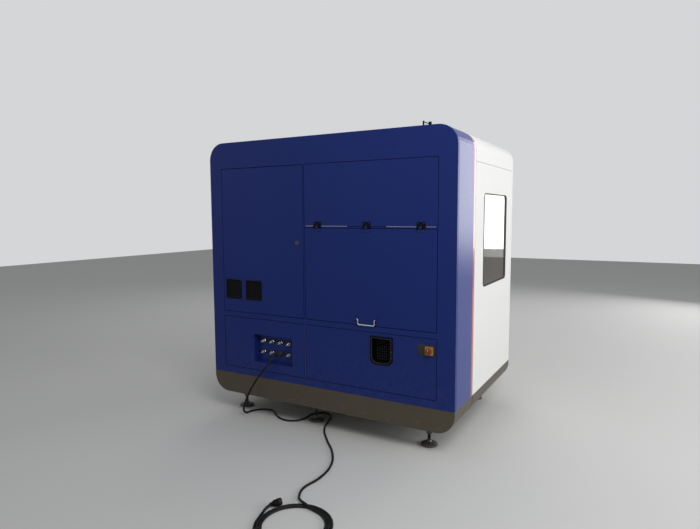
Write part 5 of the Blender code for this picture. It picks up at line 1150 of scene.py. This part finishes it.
class LASER_OT_side_window(bpy.types.Operator):
    """The side window's rubber bead"""

    bl_idname = "laser.side_window"
    bl_label = "Side window"

    def execute(self, context):
        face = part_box("right_side_panel")[1].x + 0.0004
        outline = [(face, y, z) for y, z in rim("side_window", GLASS_LAP, 0.03, across=1)]
        outline_rail("side_window_bead", outline, 0.0034, "gasket_rubber")
        return {"FINISHED"}


class LASER_OT_operator_doors(bpy.types.Operator):
    """The two operator's doors: glass beads and chromed pulls"""

    bl_idname = "laser.operator_doors"
    bl_label = "Operator doors"

    def execute(self, context):
        for side in ("left", "right"):
            body = f"front_door_{side}"
            opening = rim(f"front_glass_{side}", GLASS_LAP, 0.03)
            outline = [(x, OPERATOR_FACE + 0.0006, z) for x, z in opening]
            outline_rail(f"glass_bead_{side}", outline, 0.0036, "gasket_rubber", body)
            low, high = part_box(body)
            pull = high.x - 0.041 if side == "left" else low.x + 0.041
            middle = middle_of(body).z
            sleeve = bmesh.new()
            bar = mm((0, 0), (6.2, 0), (7.6, 1.4), (7.6, 264.6), (6.2, 266), (0, 266))
            turned(sleeve, bar, 24, at(pull, OPERATOR_FACE + 0.035, middle - 0.133))
            post = mm((13, 0), (13, 2.2), (11.2, 3.4), (6.8, 4), (6.8, 32), (0, 32))
            for rise in (-0.11, 0.11):
                turned(sleeve, post, 24, out_front(pull, OPERATOR_FACE, middle + rise))
            show(f"door_pull_{side}", sleeve, "chrome_plate", body=body)
        return {"FINISHED"}


class LASER_OT_console(bpy.types.Operator):
    """The console's bezel, button rings, emergency stop collar and corner screws"""

    bl_idname = "laser.console"
    bl_label = "Operator console"

    def execute(self, context):
        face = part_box("operator_console")[1].y
        outline = [(x, face, z) for x, z in rim("console_screen", 0.0, 0.006, 4)]
        outline_rail("screen_bezel", outline, 0.003, "gasket_rubber")
        rings, collar, screws = bmesh.new(), bmesh.new(), bmesh.new()
        profile = mm((11.6, 0), (11.6, 3), (12.8, 4.2), (15.6, 3), (16.4, 0), (11.6, 0))
        for node in ("stop_button", "start_button"):
            middle = middle_of(node)
            turned(rings, profile, 32, out_front(middle.x, face, middle.z))
        show("button_rings", rings, "chrome_plate")
        middle = middle_of("e_stop_button")
        profile = mm((11.6, 0), (11.6, 3), (29, 3), (30.5, 2), (30.8, 0), (11.6, 0))
        turned(collar, profile, 40, out_front(middle.x, face, middle.z))
        show("e_stop_collar", collar, "yellow_collar", slot="red_plastic")
        for x, z in corners(*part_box("operator_console"), 0.014):
            screw(screws, out_front(x, face, z), 0.0035)
        show("console_screws", screws, "ground_steel")
        return {"FINISHED"}


class LASER_OT_cutting_head(bpy.types.Operator):
    """The cutting head's copper nozzle, sensor ring, lens drawer and fibre socket"""

    bl_idname = "laser.cutting_head"
    bl_label = "Cutting head"

    def execute(self, context):
        low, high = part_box("cutting_head")
        middle = (low + high) / 2
        form = bmesh.new()
        foot, crown = (at(middle.x, middle.y, z) for z in (low.z, high.z))
        tip = mm((1.2, -0.4), (4.4, -0.4), (6.2, 4), (9.8, 7.5), (11.6, 13), (11.6, 16.5))
        turned(form, tip, 28, foot)
        ring = mm((15, 34), (24.8, 36.5), (25.2, 40), (25.2, 45), (24.4, 45.8))
        turned(form, ring, 32, foot, 1)
        socket = mm((0, 26), (9, 26), (11, 24.4), (11, 6), (15, 5), (15, 0))
        turned(form, socket, 24, crown, 2)
        front = out_front(middle.x, high.y + 0.0015, middle.z + 0.01)
        plate(form, (0.044, 0.03, 0.004), 0.003, 0.0006, front, 1)
        for side in (-0.015, 0.015):
            grip = mm((0, 6), (3.6, 6), (4.4, 5), (4.4, 0))
            turned(form, grip, 16, out_front(middle.x + side, high.y + 0.0035, middle.z + 0.01), 2)
        show("cutting_head_parts", form, "copper", "matt_black", "ground_steel", body="head")
        return {"FINISHED"}


class LASER_PT_sidebar(bpy.types.Panel):
    """Lists the cutter's sizes, colours and pieces"""

    bl_idname = "LASER_PT_sidebar"
    bl_label = "Laser Cutter"
    bl_space_type = "VIEW_3D"
    bl_region_type = "UI"
    bl_category = "Laser Cutter"

    def draw(self, context):
        column = self.layout.column()
        for store in PROPERTY_STORES:
            sizes = getattr(context.scene, store)
            for name in type(sizes).__annotations__:
                column.prop(sizes, name)
        for piece in PIECES:
            column.operator(piece.bl_idname)


PROPERTY_STORES = {
    "laser_stage": StudioStage,
    "laser_lead": SupplyLead,
    "laser_finishes": CabinetFinishes,
    "laser_service": ServiceFurniture,
}
PIECES = [
    LASER_OT_stage, LASER_OT_supply_lead, LASER_OT_finishes, LASER_OT_lead_ends, LASER_OT_hatch_furniture,
    LASER_OT_couplings, LASER_OT_service_door_furniture, LASER_OT_exhaust_port, LASER_OT_main_switch,
    LASER_OT_levelling_feet, LASER_OT_side_window, LASER_OT_operator_doors, LASER_OT_console,
    LASER_OT_cutting_head,
]


def register():
    for kind in [*PROPERTY_STORES.values(), *PIECES, LASER_PT_sidebar]:
        bpy.utils.register_class(kind)
    for store, kind in PROPERTY_STORES.items():
        setattr(bpy.types.Scene, store, PointerProperty(type=kind))


def unregister():
    for store in PROPERTY_STORES:
        delattr(bpy.types.Scene, store)
    for kind in reversed([*PROPERTY_STORES.values(), *PIECES, LASER_PT_sidebar]):
        bpy.utils.unregister_class(kind)


def main():
    register()
    for piece in PIECES:
        family, action = piece.bl_idname.split(".")
        getattr(getattr(bpy.ops, family), action)()


if __name__ == "__main__":
    main()
